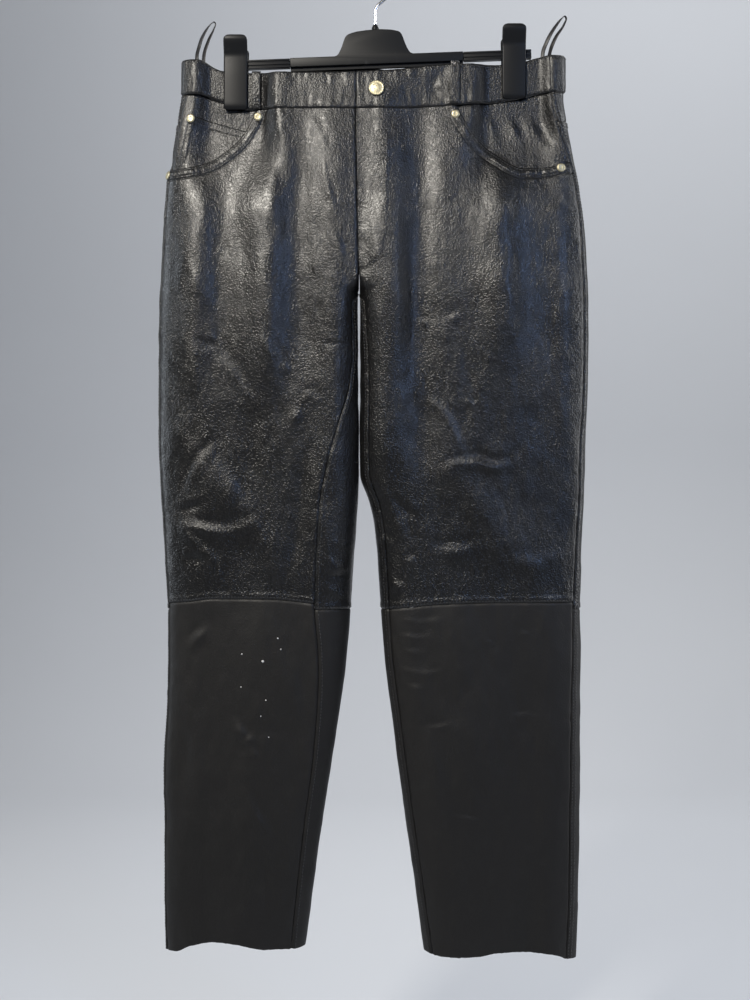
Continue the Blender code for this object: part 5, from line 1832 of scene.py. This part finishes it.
@dataclass
class Loops(SubAssembly):
    """Belt loops on the band, and the ribbon loops that the trousers hang by in a shop.

    Attributes:
        thick: Thickness of a belt loop.
        rise: How far a belt loop bows off the band.
        ribbon_half: Half the ribbon's width.
    """

    thick: float = 1.5
    rise: float = 2.4
    ribbon_half: float = 2.3

    def strip(
        self, name: str, side: Side, face: Face, x: float, half: float, top: float, bottom: float,
        stand: float,
    ) -> list[Piece]:
        """A belt loop: a narrow folded strip sewn down at both ends.

        Args:
            name: The loop's name, which is its solid's too.
            side: The half of the waist that it sits on.
            face: The front or the back.
            x: Its middle.
            half: Half its width.
            top: Height of its upper end.
            bottom: Height of its lower end.
            stand: Clearance from the band at its ends.

        Returns:
            The loop and its stitches.
        """
        skin = SKIN[side, face]
        steps, wide = 40, 13
        z = np.linspace(top, bottom, steps + 1)[:, None] * np.ones((1, wide))
        share = np.linspace(-1, 1, wide)
        wander = 0.5 * Undulation(71, 900.0, 14.0).at(np.zeros_like(z), z + x)
        across = x + half * share * np.ones((steps + 1, 1)) + wander
        if face is Face.FRONT:
            c = skin.column_at(across, z)
            points, normals = skin.point(c, z), skin.normal(c, z)
        else:
            fractions = np.linspace(0, 1, Skin.COLUMNS)
            points = np.empty((steps + 1, wide, 3))
            for i in range(steps + 1):
                line = skin.point(fractions, np.full_like(fractions, z[i, 0]))
                line = line[line[:, 1] > 0]
                line = line[np.argsort(line[:, 0])]
                points[i] = np.stack([across[i], np.interp(across[i], line[:, 0], line[:, 1]), z[i]], axis=1)
            normals = np.zeros_like(points)
            normals[..., 1] = 1.0
        bow = np.sin(math.pi * np.linspace(0, 1, steps + 1))[:, None] ** 0.5
        lift = CUT.band_out + stand + self.rise * bow
        crown = 0.35 * (1 - share**4) + 0.18 * Undulation(72, 4.0, 5.0).at(across, z)
        outer = points + normals * (lift + self.thick + crown - 0.25)[..., None]
        inner = points + normals * lift[..., None]
        mesh_points, faces = shell(outer, inner, np.arange(steps + 1), np.arange(wide))
        loop = make_piece(name, mesh_points, faces, self.looks.band, Slot.LEATHER, [name])
        thread = Thread(f"{name}_stitches")
        for column in (2, wide - 3):
            thread.sew(outer[:, column], normals[:, column], Stitch.LOOP)
        for row in (1, 2, steps - 2, steps - 1):
            thread.sew(outer[row, 1:-1], normals[row, 1:-1], Stitch.TACK)
        return [loop, thread.build(self.looks.thread)]

    def ribbon(self, side: Side, route: Columns, seat: float) -> Piece:
        """A hanging loop: up one strand, over, and down the other.

        Args:
            side: The side seam that it is sewn in at.
            route: The ribbon's x and z and the lean of its width.
            seat: How far under the band's inner side it is sewn.

        Returns:
            The loop.
        """
        count = len(route["x"])
        t = np.linspace(0, count - 1, 110)
        x, z, lean = (smooth(np.arange(float(count)), route[k], t) for k in ("x", "z", "lean"))
        skin = SKIN[side, Face.FRONT]
        sewn_z = np.minimum(z, -114.0)
        c = skin.column_at(x, sewn_z)
        sewn = skin.point(c, sewn_z) - skin.normal(c, sewn_z) * (CUT.band_in + seat)
        path = np.stack([x, sewn[:, 1] * (1 - ramp(z, -112.0, -92.0)), z], axis=1)
        tangent = unit(np.gradient(path, axis=0))
        in_plane = np.cross(tangent, (0, 1, 0))
        wide = in_plane * np.cos(lean)[:, None] + np.array((0, 1, 0)) * np.sin(lean)[:, None]
        thick = np.cross(wide, tangent)
        across = self.ribbon_half * np.linspace(-1, 1, 7)[None, :, None] * wide[:, None]
        half_wall = (0.5 - 0.22 * np.linspace(-1, 1, 7) ** 4)[None, :, None] * thick[:, None]
        middle = path[:, None] + across
        points, faces = shell(middle + half_wall, middle - half_wall, np.arange(len(t)), np.arange(7))
        name = f"hanging_loop_{side.value}"
        return make_piece(name, points, faces, self.looks.ribbon, Slot.RIBBON, [name])

    def tuft(self) -> Piece:
        """The frayed thread end at the top of the wearer's left belt loop."""
        random = np.random.default_rng(5)
        points, faces = [], []
        for _ in range(9):
            t = np.linspace(0, 1, 14)
            heading = random.uniform(-0.9, 0.9)
            curl = random.uniform(1.5, 4.0)
            reach = random.uniform(3.5, 7.0)
            x = 91.6 + reach * (t * math.sin(heading) + 0.28 * np.sin(curl * t * 2))
            z = -120.0 + reach * (0.8 * t * math.cos(heading) - 0.35 * t**2)
            y = -17.4 - 2.2 * t * math.cos(curl) - 0.8 * t
            ring, ring_faces = tube(np.stack([x, y, z], axis=1), 0.26, 5, len(points) * 70)
            points.append(ring)
            faces += ring_faces
        look = self.looks.loose_thread
        return make_piece("frayed_thread", np.concatenate(points), faces, look, Slot.LEATHER)

    def build(self) -> list[Piece]:
        """Make every loop."""
        made = [
            *self.strip("belt_loop_right", Side.RIGHT, Face.FRONT, -138.8, 5.6, -126.0, -170.0, 1.6),
            *self.strip("belt_loop_left", Side.LEFT, Face.FRONT, 93.3, 5.2, -115.8, -166.0, 0.9),
            *self.strip("belt_loop_back", Side.LEFT, Face.BACK, 3.0, 5.4, -118.0, -168.0, 0.9),
        ]
        right = table(
            "x z lean",
            (-209.5, -125, 0.3), (-209.5, -108, 0.3), (-206, -90, 0.45), (-199.5, -76, 0.8),
            (-192.5, -67.2, 1.3), (-189.6, -65.9, 1.57), (-188, -68.4, 1.85), (-190.4, -75, 2.1),
            (-196.5, -88, 2.5), (-201.4, -105, 2.7), (-202.6, -125, 2.7),
        )
        left = table(
            "x z lean",
            (196.8, -122, 0.3), (197.6, -104, 0.3), (203, -88, 0.4), (211, -73.5, 0.7), (220.4, -61, 1.2),
            (223.4, -58.9, 1.57), (225.4, -62, 1.85), (222.2, -70, 2.1), (213, -84, 2.5), (206, -102, 2.7),
            (202.4, -122, 2.7),
        )
        made += [self.ribbon(Side.RIGHT, right, 4.0), self.ribbon(Side.LEFT, left, 2.2), self.tuft()]
        return made


def tube(path: Array, radius: float | Array, sides: int, first: int = 0) -> tuple[Array, list]:
    """A closed tube along a path.

    Args:
        path: Points along its middle.
        radius: Its radius, or one for each point.
        sides: Number of sides.
        first: Number of its first point.

    Returns:
        Points and faces.
    """
    tangent = unit(np.gradient(path, axis=0))
    side = np.cross(tangent, (0.0, 1.0, 0.0))
    side /= np.maximum(np.linalg.norm(side, axis=1, keepdims=True), 1e-6)
    up = np.cross(side, tangent)
    angle = 2 * math.pi * np.arange(sides) / sides
    spoke = side[:, None] * np.cos(angle)[:, None] + up[:, None] * np.sin(angle)[:, None]
    points = path[:, None] + spoke * np.broadcast_to(radius, len(path))[:, None, None]
    return points.reshape(-1, 3), tube_faces(len(path), sides, first)


def turned(profile: Sequence[tuple[float, float]], centre: Array, axis: Array, sides: int) -> tuple:
    """A round closed piece from radii and heights, standing along its axis."""
    axis = unit(np.asarray(axis, float))
    first = unit(np.cross(axis, (0.0, 0.0, 1.0) if abs(axis[2]) < 0.9 else (1.0, 0.0, 0.0)))
    second = np.cross(axis, first)
    angle = 2 * math.pi * np.arange(sides) / sides
    spoke = first * np.cos(angle)[:, None] + second * np.sin(angle)[:, None]
    rings = [np.asarray(centre) + axis * height + spoke * radius for radius, height in profile]
    return np.concatenate(rings), tube_faces(len(profile), sides)


@dataclass
class MetalTrim(SubAssembly):
    """The waist button and the pocket rivets, by diameter, seated on the leather."""

    button: float = 18.0
    rivet: float = 10.0

    # shares of the radius, and heights over the leather
    BUTTON_PROFILE = (
        (0.45, -0.3), (0.45, 1.0), (0.9, 1.1), (0.985, 1.5), (1, 2.0), (0.985, 2.5), (0.93, 2.95),
        (0.87, 3.1), (0.82, 2.95), (0.78, 2.9), (0.6, 3.3), (0.4, 3.6), (0.2, 3.78), (0.05, 3.82),
    )
    RIVET_PROFILE = (
        (0.9, -0.4), (0.985, 0.1), (1, 0.45), (0.97, 0.85), (0.86, 1.25), (0.66, 1.6), (0.46, 1.72),
        (0.36, 1.5), (0.2, 1.42), (0.05, 1.4),
    )

    def seat(self, panel: str, x: float, z: float) -> tuple[Array, Array]:
        """The leather's surface at a place on a front, and the direction out of it."""
        at = self.panels[panel]
        point, normal = drawn_line(at.side, np.array([(x, z), (x, z - 0.5)]))
        on = Surface(at.object).lay(point[:1] + normal[:1] * at.out, normal[:1])
        return on[0], normal[0]

    def build(self) -> list[Piece]:
        """Make the button and the rivets."""
        centre, axis = self.seat("waistband_front_left", 1.8, -148.5)
        profile = [(self.button / 2 * share, height) for share, height in self.BUTTON_PROFILE]
        points, faces = turned(profile, centre, axis, 64)
        made = [make_piece("waist_button", points, faces, self.looks.brass, Slot.BRASS, ["waist_button"])]
        profile = [(self.rivet / 2 * share, height) for share, height in self.RIVET_PROFILE]
        places = {
            "rivet_coin_pocket": ("coin_pocket", -215.8, -182.3),
            "rivet_pocket_top_right": ("front_upper_right", -137.5, -178.8),
            "rivet_pocket_top_left": ("front_upper_left", 94.0, -178.0),
            "rivet_pocket_side_left": ("front_upper_left", 217.5, -240.5),
        }
        for name, place in places.items():
            made.append(self.place_rivet(name, profile, *self.seat(*place)))
        panel = self.panels["front_upper_right"]
        row = int(np.argmin(np.abs(panel.base[:, -5, 2] + 248)))
        place = panel.outer[row, -5], panel.normals[row, -5]
        made.append(self.place_rivet("rivet_pocket_side_right", profile, *place))
        return made

    def place_rivet(self, name: str, profile: list, centre: Array, axis: Array) -> Piece:
        """One rivet with its head out along the axis."""
        points, faces = turned(profile, centre, axis, 40)
        return make_piece(name, points, faces, self.looks.brass, Slot.BRASS, [name])


@dataclass
class Topstitching(SubAssembly):
    """Rows of thread along the seams, the pockets, the fly and the band."""

    def build(self) -> list[Piece]:
        """Sew every row."""
        made = []
        for side in Side:
            name = side.value
            pocket = Thread(f"pocket_stitches_{name}")
            upper = self.panels[f"front_upper_{name}"]
            surface = Surface(upper.object)
            for shift in SCOOP_ROWS:
                line = scoop_line(side, shift)
                limit = abs(LEG[side]["outer"][3]) + 1
                seam = edge(BAND, "seam", -3.0)
                line = line[(np.abs(line[:, 0]) < limit) & (line[:, 1] < seam(line[:, 0]))]
                points, ups = drawn_line(side, line)
                pocket.sew(surface.lay(points, ups), ups, Stitch.POCKET)
            if side is Side.RIGHT:
                coin = self.panels["coin_pocket"]
                for where, inset in ((Edge.TOP, 1.6), (Edge.TOP, 7.6), (Edge.END, 1.8), (Edge.END, 7.0)):
                    pocket.sew(*coin.line(where, inset), Stitch.COIN)
            else:
                pocket.sew(*self.panels["pocket_facing_left"].line(Edge.END, 2.2), Stitch.FACING)
            made.append(pocket.build(self.looks.thread))
            seams = Thread(f"seam_stitches_{name}")
            for part in ("yoke", "back_upper", "back_lower"):
                back = self.panels[f"{part}_{name}"]
                for inset in (1.7, 5.6):
                    seams.sew(*back.line(Edge.START, inset), Stitch.SIDE_SEAM)
                seams.sew(*back.line(Edge.END, 4.2), Stitch.SEAM)
            for inset in (2.0, 6.2):
                seams.sew(*self.panels[f"back_upper_{name}"].line(Edge.TOP, inset), Stitch.SEAM)
            for part in ("front_upper", "back_upper"):
                seams.sew(*self.panels[f"{part}_{name}"].line(Edge.BOTTOM, 2.2), Stitch.SEAM)
            made.append(seams.build(self.looks.thread))
            band = Thread(f"band_stitches_{name}")
            for face in Face:
                panel = self.panels[f"waistband_{face.value}_{name}"]
                for where in (Edge.TOP, Edge.BOTTOM):
                    band.sew(*panel.line(where, 3.0), Stitch.BAND)
            if side is Side.LEFT:
                band.sew(*self.panels["waistband_front_left"].line(Edge.START, 2.6), Stitch.BAND)
            made.append(band.build(self.looks.thread))
        fly = Thread("fly_stitches")
        front = self.panels["front_upper_left"]
        heights = np.linspace(FLY_STITCH["z"][1], FLY_STITCH["z"][-1], 90)
        points, ups = drawn_line(Side.LEFT, np.stack([look_up(FLY_STITCH, "x", heights), heights], axis=1))
        fly.sew(Surface(front.object).lay(points, ups), ups, Stitch.FLY)
        edge_line, ups = front.line(Edge.START, 1.6)
        open_part = edge_line[:, 2] > CUT.front_fork + 4
        fly.sew(edge_line[open_part], ups[open_part], Stitch.OVERCAST)
        made.append(fly.build(self.looks.thread))
        return made


@dataclass
class Specks(SubAssembly):
    """Small dried specks on the wearer's right lower leg, each with its x, z and radius."""

    places: tuple[Triple, ...] = (
        (-130.7, -817.0, 1.5), (-155.2, -808.8, 0.9), (-113.2, -790.2, 0.9), (-109.7, -803.0, 0.8),
        (-156.3, -847.3, 0.8), (-127.2, -862.5, 0.8), (-133.0, -881.2, 0.7), (-123.7, -905.7, 0.7),
    )

    def build(self) -> list[Piece]:
        """Make the specks as one piece."""
        panel = self.panels["front_lower_right"]
        surface = Surface(panel.object)
        points, faces = [], []
        for x, z, radius in self.places:
            at, up = drawn_line(panel.side, np.array([(x, z), (x, z - 0.5)]))
            centre = surface.lay(at[:1], up[:1])[0]
            profile = [(radius * 0.9, -0.2), (radius, 0.05), (radius * 0.7, 0.22), (radius * 0.1, 0.3)]
            ring, ring_faces = turned(profile, centre, up[0], 10)
            faces += [tuple(k + 40 * len(points) for k in face) for face in ring_faces]
            points.append(ring)
        return [make_piece("dried_specks", np.concatenate(points), faces, self.looks.lint, Slot.LEATHER)]


# ---------------------------------------------------------------- the hanger


@dataclass
class Hanger(SubAssembly):
    """The moulded bar with its raised middle, and the grooved rods that carry the clips.

    Attributes:
        lean: Its lean, in degrees, about a point under the hook.
        pivot: x and z of that point.
        low: Height of the bar's underside before it leans.
        high: Height of its upper side.
        left: End of the bar at the wearer's right.
        right: End of the bar at the wearer's left.
        rod_front: How far a rod reaches forwards.
        rod_back: How far it reaches back.
        rod_ends: Outer ends of the two rods.
    """

    lean: float = 2.2
    pivot: tuple[float, float] = (0.3, -112.0)
    low: float = -116.5
    high: float = -105.5
    depth: float = 11.0
    left: float = -100.0
    right: float = 104.0
    rod_height: float = 10.4
    rod_front: float = 5.4
    rod_back: float = 4.4
    rod_ends: tuple[float, float] = (-176.0, 184.0)

    def leant(self, points: Array) -> Array:
        """Points of the hanger's own frame, turned by its lean."""
        angle = math.radians(self.lean)
        x, z = points[:, 0] - self.pivot[0], points[:, 2] - self.pivot[1]
        turned_x = self.pivot[0] + x * math.cos(angle) - z * math.sin(angle)
        turned_z = self.pivot[1] + x * math.sin(angle) + z * math.cos(angle)
        return np.stack([turned_x, points[:, 1], turned_z], axis=1)

    def moulded(
        self, name: str, outline: list, start: float, end: float, along_x: bool, ease: float
    ) -> Piece:
        """A moulding of one outline, with rounded edges.

        Args:
            name: The piece's name, which is its solid's too.
            outline: x and z of its outline, or y and z where it runs along x.
            start: Where its depth begins.
            end: Where its depth ends.
            along_x: Whether its depth runs along x and not along y.
            ease: Radius of its edges.

        Returns:
            The piece.
        """
        flat = np.array(outline, float)
        count = len(flat)
        ends = []
        for depth in (start, end):
            deep = np.full(count, depth)
            columns = (deep, flat[:, 0], flat[:, 1]) if along_x else (flat[:, 0], deep, flat[:, 1])
            ends.append(np.stack(columns, axis=1))
        faces = [tuple(range(count)), tuple(range(count, 2 * count))[::-1]]
        faces += [(i, (i + 1) % count, count + (i + 1) % count, count + i) for i in range(count)]
        points = self.leant(np.concatenate(ends))
        made = make_piece(name, points, faces, self.looks.plastic, Slot.PLASTIC, [name])
        shape = bmesh.new()
        shape.from_mesh(made.data)
        sharp = [one for one in shape.edges if one.calc_face_angle(0) > math.radians(28)]
        rounding = {"offset": ease * MM, "segments": 4, "profile": 0.5, "affect": "EDGES"}
        bmesh.ops.bevel(shape, geom=sharp, clamp_overlap=True, **rounding)
        shape.to_mesh(made.data)
        shape.free()
        made.data.shade_smooth()
        made.data.set_sharp_from_angle(angle=math.radians(24))
        return made

    def body(self) -> Piece:
        """The bar with its raised middle as one moulding, and the recessed lip below as a piece of its own.
        """
        high, low = self.high, self.low
        raised = table(
            "x z",
            (-47, 0), (-44.5, 0.9), (-42.5, 3), (-40, 7.5), (-38, 12), (-36, 17.5), (-34.5, 21),
            (-32.8, 23.6), (-30, 25.4), (-25, 27), (-20, 28.2), (-8, 29.4), (0, 29.8), (8, 29.9), (20, 29),
            (28.5, 27), (31, 25.4), (32.5, 23), (34.5, 18), (36, 13), (38, 8), (40, 4), (42, 1.2), (45, 0),
        )
        top = [(x, high + z) for x, z in zip(raised["x"], raised["z"])]
        outline = [(self.left, low), (self.left, high), *top, (self.right, high), (self.right, low)]
        made = self.moulded("hanger_body", outline, -self.depth / 2, self.depth / 2, False, 0.9)
        lip_y = (-1.5, 3.5)
        start, end = self.left + 0.4, self.right - 0.4
        lip = [(start, low - 4.0), (start, low + 2), (end, low + 2), (end, low - 4.0)]
        flat = np.array(lip)
        ends = [np.stack([flat[:, 0], np.full(4, y), flat[:, 1]], axis=1) for y in lip_y]
        faces = [(0, 1, 2, 3), (7, 6, 5, 4), *[(i, (i + 1) % 4, 4 + (i + 1) % 4, 4 + i) for i in range(4)]]
        points = self.leant(np.concatenate(ends))
        make_piece("hanger_lip", points, faces, self.looks.plastic, Slot.PLASTIC, sharp=30)
        return made

    def rod_section(self) -> list[tuple[float, float]]:
        """Outline of a rod as y and z: a flat bar with two grooves along its front and its back."""
        top = self.high - 0.6
        bottom = top - self.rod_height
        outline = []
        for y, sign, heights in ((-self.rod_front, 1, (bottom, top)), (self.rod_back, -1, (top, bottom))):
            start, end = heights
            step = (end - start) / 10.4
            outline.append((y, start))
            for near, far in ((2.0, 3.9), (6.5, 8.4)):
                outline += [
                    (y, start + near * step), (y + sign * 0.9, start + (near + 0.3) * step),
                    (y + sign * 0.9, start + (far - 0.3) * step), (y, start + far * step),
                ]
            outline.append((y, end))
        return outline

    def build(self) -> list[Piece]:
        """Make the bar and the rods."""
        section = self.rod_section()
        return [
            self.body(),
            self.moulded("hanger_rod_right", section, self.rod_ends[0], self.left - 0.3, True, 0.35),
            self.moulded("hanger_rod_left", section, self.right + 0.3, self.rod_ends[1], True, 0.35),
        ]


@dataclass
class Clips(SubAssembly):
    """Two spring clips, each a front and a back jaw, closed on the band.

    Attributes:
        tops: Height of a front jaw's top, by side.
        jaw_front: How far the front jaw's inner side stands from the middle plane.
        jaw_back: The same for the back jaw.
        wall: Thickness of a jaw.
    """

    width: float = 28.0
    height: float = 86.0
    tops: Mapping[Side, float] = field(default_factory=lambda: {Side.RIGHT: -84.5, Side.LEFT: -71.5})
    jaw_front: float = 5.7
    jaw_back: float = 4.7
    wall: float = 3.4

    TOP_ROUND, LOW_ROUND, EASE = 5.5, 3.4, 1.9

    def jaw(self, side: Side, face: Face) -> Piece:
        """One jaw: close on the band below, and open above the rod."""
        sign, inner = (-1, self.jaw_front) if face is Face.FRONT else (1, self.jaw_back)
        front = face is Face.FRONT
        top = self.tops[side] - (0 if front else 10)
        height = self.height - (0 if front else 16)
        half = self.width / 2 + (0 if front else 0.3)
        profile = table(
            "down inner wall",
            (0, inner + 7.0, 2.6), (5, inner + 6.4, self.wall), (16, inner + 2.4, self.wall),
            (23, inner, self.wall), (46, inner, self.wall + 0.4), (height - 5, inner, self.wall + 0.2),
            (height, inner, 2.2),
        )
        round_top = self.TOP_ROUND * (1 - np.cos(np.linspace(0, math.pi / 2, 8)))
        round_low = height - self.LOW_ROUND * (1 - np.cos(np.linspace(math.pi / 2, 0, 7)))
        downs = np.concatenate([round_top, np.linspace(8, height - 6, 26), round_low])
        at_top, at_low = (
            radius - np.sqrt(np.maximum(radius**2 - (radius - np.minimum(away, radius)) ** 2, 0))
            for radius, away in ((self.TOP_ROUND, downs), (self.LOW_ROUND, height - downs))
        )
        gap = smooth(profile["down"], profile["inner"], downs)
        thick = smooth(profile["down"], profile["wall"], downs)
        corner = np.linspace(0, math.pi / 2, 5)
        rings = []
        for down, near, wall, less in zip(downs, gap, thick, np.maximum(at_top, at_low)):
            reach = half - less
            turn_x, turn_y = self.EASE * (1 - np.sin(corner)), self.EASE * (1 - np.cos(corner))
            xs = np.concatenate([[-reach], -reach + turn_x[::-1], reach - turn_x, [reach]])
            ys = np.concatenate([[near], near + wall - turn_y[::-1], near + wall - turn_y, [near]])
            at = PRESS.centres[side]
            rings.append(np.stack([at + xs, sign * ys, np.full(len(xs), top - down)], axis=1))
        faces = tube_faces(len(rings), len(rings[0]))
        name = f"clip_{side.value}_{face.value}"
        points, look = np.concatenate(rings), self.looks.plastic
        return make_piece(name, points, faces, look, Slot.PLASTIC, [name], sharp=32)

    def build(self) -> list[Piece]:
        """Make the four jaws."""
        return [self.jaw(side, face) for side in Side for face in Face]


@dataclass
class Hook(SubAssembly):
    """The wire hook and the small collar that it stands in.

    Attributes:
        x: Its shank.
        wire: Diameter of the wire.
        radius: Of the bend's middle line.
    """

    x: float = 0.3
    wire: float = 3.8
    radius: float = 21.9
    collar_base: float = -75.3
    collar_top: float = -69.5

    def build(self) -> list[Piece]:
        """Make the hook and its collar."""
        centre = self.wire / 2 - self.radius
        route = [(self.x, self.collar_top + 0.3), (self.x, -62.0), (self.x, -54.0)]
        route += [(self.x + 2.2, -47.5), (self.x + 7.6, -42.2)]
        for degrees in range(-45, 206, 25):
            angle = math.radians(degrees)
            route.append((self.x + self.radius * math.cos(angle), centre + self.radius * math.sin(angle)))
        points = np.array(route)
        t = np.linspace(0, len(points) - 1, 190)
        x, z = (smooth(np.arange(float(len(points))), points[:, k], t) for k in (0, 1))
        path = np.stack([x, np.zeros_like(x), z], axis=1)
        radius = np.full(len(t), self.wire / 2)
        radius[-5:] *= np.sqrt(1 - np.linspace(0.15, 0.97, 5) ** 2)
        mesh_points, faces = tube(path, radius, 20)
        hook = make_piece("hook", mesh_points, faces, self.looks.steel, Slot.WIRE, ["hook"])
        rise = self.collar_top - self.collar_base - 0.3
        profile = [
            (3.9, 0), (4.2, 0.3), (4.2, 2.7), (4.0, 3.1), (3.4, 3.4),
            (3.2, rise - 0.5), (2.8, rise), (2.0, rise),
        ]
        ring = turned(profile, np.array([self.x, 0, self.collar_base]), np.array([0, 0, 1.0]), 40)
        look = self.looks.plastic
        collar = make_piece("hook_collar", *ring, look, Slot.PLASTIC, ["hook_collar"], sharp=35)
        return [hook, collar]


# ---------------------------------------------------------------- the studio


@dataclass(frozen=True)
class SoftLight:
    """A soft rectangular light, which stands at a place and faces a target.

    Attributes:
        power: In watts.
        spread: Angle that its light fills, in degrees.
    """

    name: str
    place: Triple
    target: Triple
    size: tuple[float, float]
    power: float
    colour: Triple = (1.0, 1.0, 1.0)
    spread: float = 180.0

    def build(self) -> None:
        """Put the light up."""
        lamp = bpy.data.lights.new(self.name, "AREA")
        lamp.shape, (lamp.size, lamp.size_y) = "RECTANGLE", self.size
        lamp.energy, lamp.color, lamp.spread = self.power, self.colour, math.radians(self.spread)
        made = put_in_scene(self.name, lamp)
        made.location = self.place
        made.rotation_euler = (Vector(self.target) - Vector(self.place)).to_track_quat("-Z", "Y").to_euler()


@dataclass
class Studio:
    """A pale paper sweep, soft lights and the camera.

    Attributes:
        floor: Height of the floor, in metres.
        back: Where the paper has risen to upright.
        bend: Radius of its bend.
        middle: Height that the camera looks at.
        distance: From the camera to the cloth's front.
        view: Height of what the camera takes in there.
    """

    floor: float = -1.5
    back: float = 3.9
    bend: float = 1.1
    middle: float = -0.6292
    distance: float = 1.9
    view: float = 1.1667

    def paper(self) -> None:
        """The floor, which sweeps up into the backdrop."""
        turn = np.linspace(0, math.pi / 2, 24)
        y = np.concatenate([[-4.5], self.back - self.bend + self.bend * np.sin(turn), [self.back]])
        z = np.concatenate([[self.floor], self.floor + self.bend * (1 - np.cos(turn)), [3.2]])
        across = np.linspace(-5, 5, 2)
        points = [(x, b, c) for b, c in zip(y, z) for x in across]
        mesh = bpy.data.meshes.new("paper_sweep")
        mesh.from_pydata(points, [], grid_faces(len(y), 2))
        mesh.shade_smooth()
        mesh.materials.append(PaperFinish().material())
        put_in_scene("paper_sweep", mesh)

    def camera(self) -> None:
        """The camera, level and straight in front."""
        lens = bpy.data.cameras.new("camera")
        lens.sensor_width = 36.0
        lens.lens = lens.sensor_width * self.distance / self.view
        made = put_in_scene("camera", lens)
        made.location = (0, -0.02 - self.distance, self.middle)
        made.rotation_euler = (math.pi / 2, 0, 0)
        bpy.context.scene.camera = made

    def build(self) -> None:
        """Set up everything that isn't part of the object."""
        self.paper()
        self.camera()
        lights = (
            SoftLight(
                "key_warm", (-0.82, -1.75, 0.66), (-0.05, 0, -0.33), (0.2, 0.5), 8.5, (1.0, 0.95, 0.86), 80
            ),
            SoftLight(
                "key_cool", (1.0, -1.65, 0.0), (0.1, 0, -0.45), (0.22, 0.9), 2.1, (0.4, 0.58, 1.0), 100
            ),
            SoftLight("front_fill", (0.0, -3.2, 0.4), (0, 0, -0.6), (2.4, 1.0), 0.7),
            SoftLight("rim_left", (1.7, 0.05, -0.1), (0.1, 0, -0.45), (0.4, 1.8), 17, (0.95, 0.97, 1.0)),
            SoftLight("rim_right", (-1.9, 0.05, -0.1), (-0.1, 0, -0.5), (0.4, 1.8), 15, (0.85, 0.92, 1.0)),
            SoftLight("paper_wash", (1.1, 1.4, 2.4), (0.8, 3.9, -0.4), (3.0, 0.8), 82, (0.98, 0.99, 1.0)),
            SoftLight("back_fill", (0.4, 2.8, 1.4), (0, 0, -0.4), (1.6, 1.0), 30),
        )
        for light in lights:
            light.build()
        world = bpy.data.worlds.new("pale_room")
        world.use_nodes = True
        air = world.node_tree.nodes["Background"].inputs
        air["Color"].default_value, air["Strength"].default_value = (0.74, 0.78, 0.84, 1), 0.075
        bpy.context.scene.world = world
        bpy.context.scene.view_settings.view_transform = "Standard"


def main() -> None:
    """Build the studio, the trousers and the hanger, and report each piece."""
    logging.basicConfig(level=logging.INFO, format="%(message)s", stream=sys.stdout)
    Studio().build()
    looks = Looks()
    legs, pockets, band = Legs(looks), Pockets(looks), Waistband(looks)
    made = [*legs.build(), *pockets.build(), *band.build(), *Underlap(looks).build(), *Loops(looks).build()]
    panels = {**legs.panels, **pockets.panels, **band.panels}
    for name, panel in panels.items():
        if name not in ("waistband_back_right", "waistband_back_left"):
            panel.declare()
    made += MetalTrim(looks, panels).build()
    made += Topstitching(looks, panels).build()
    made += Specks(looks, panels).build()
    for group in (Hanger(looks), Clips(looks), Hook(looks)):
        made += group.build()
    for piece in made:
        LOG.info("%s: %d faces", piece.name, len(piece.data.polygons))
    LOG.info("%d pieces, %d faces in all", len(made), sum(len(piece.data.polygons) for piece in made))


if __name__ == "__main__":
    main()
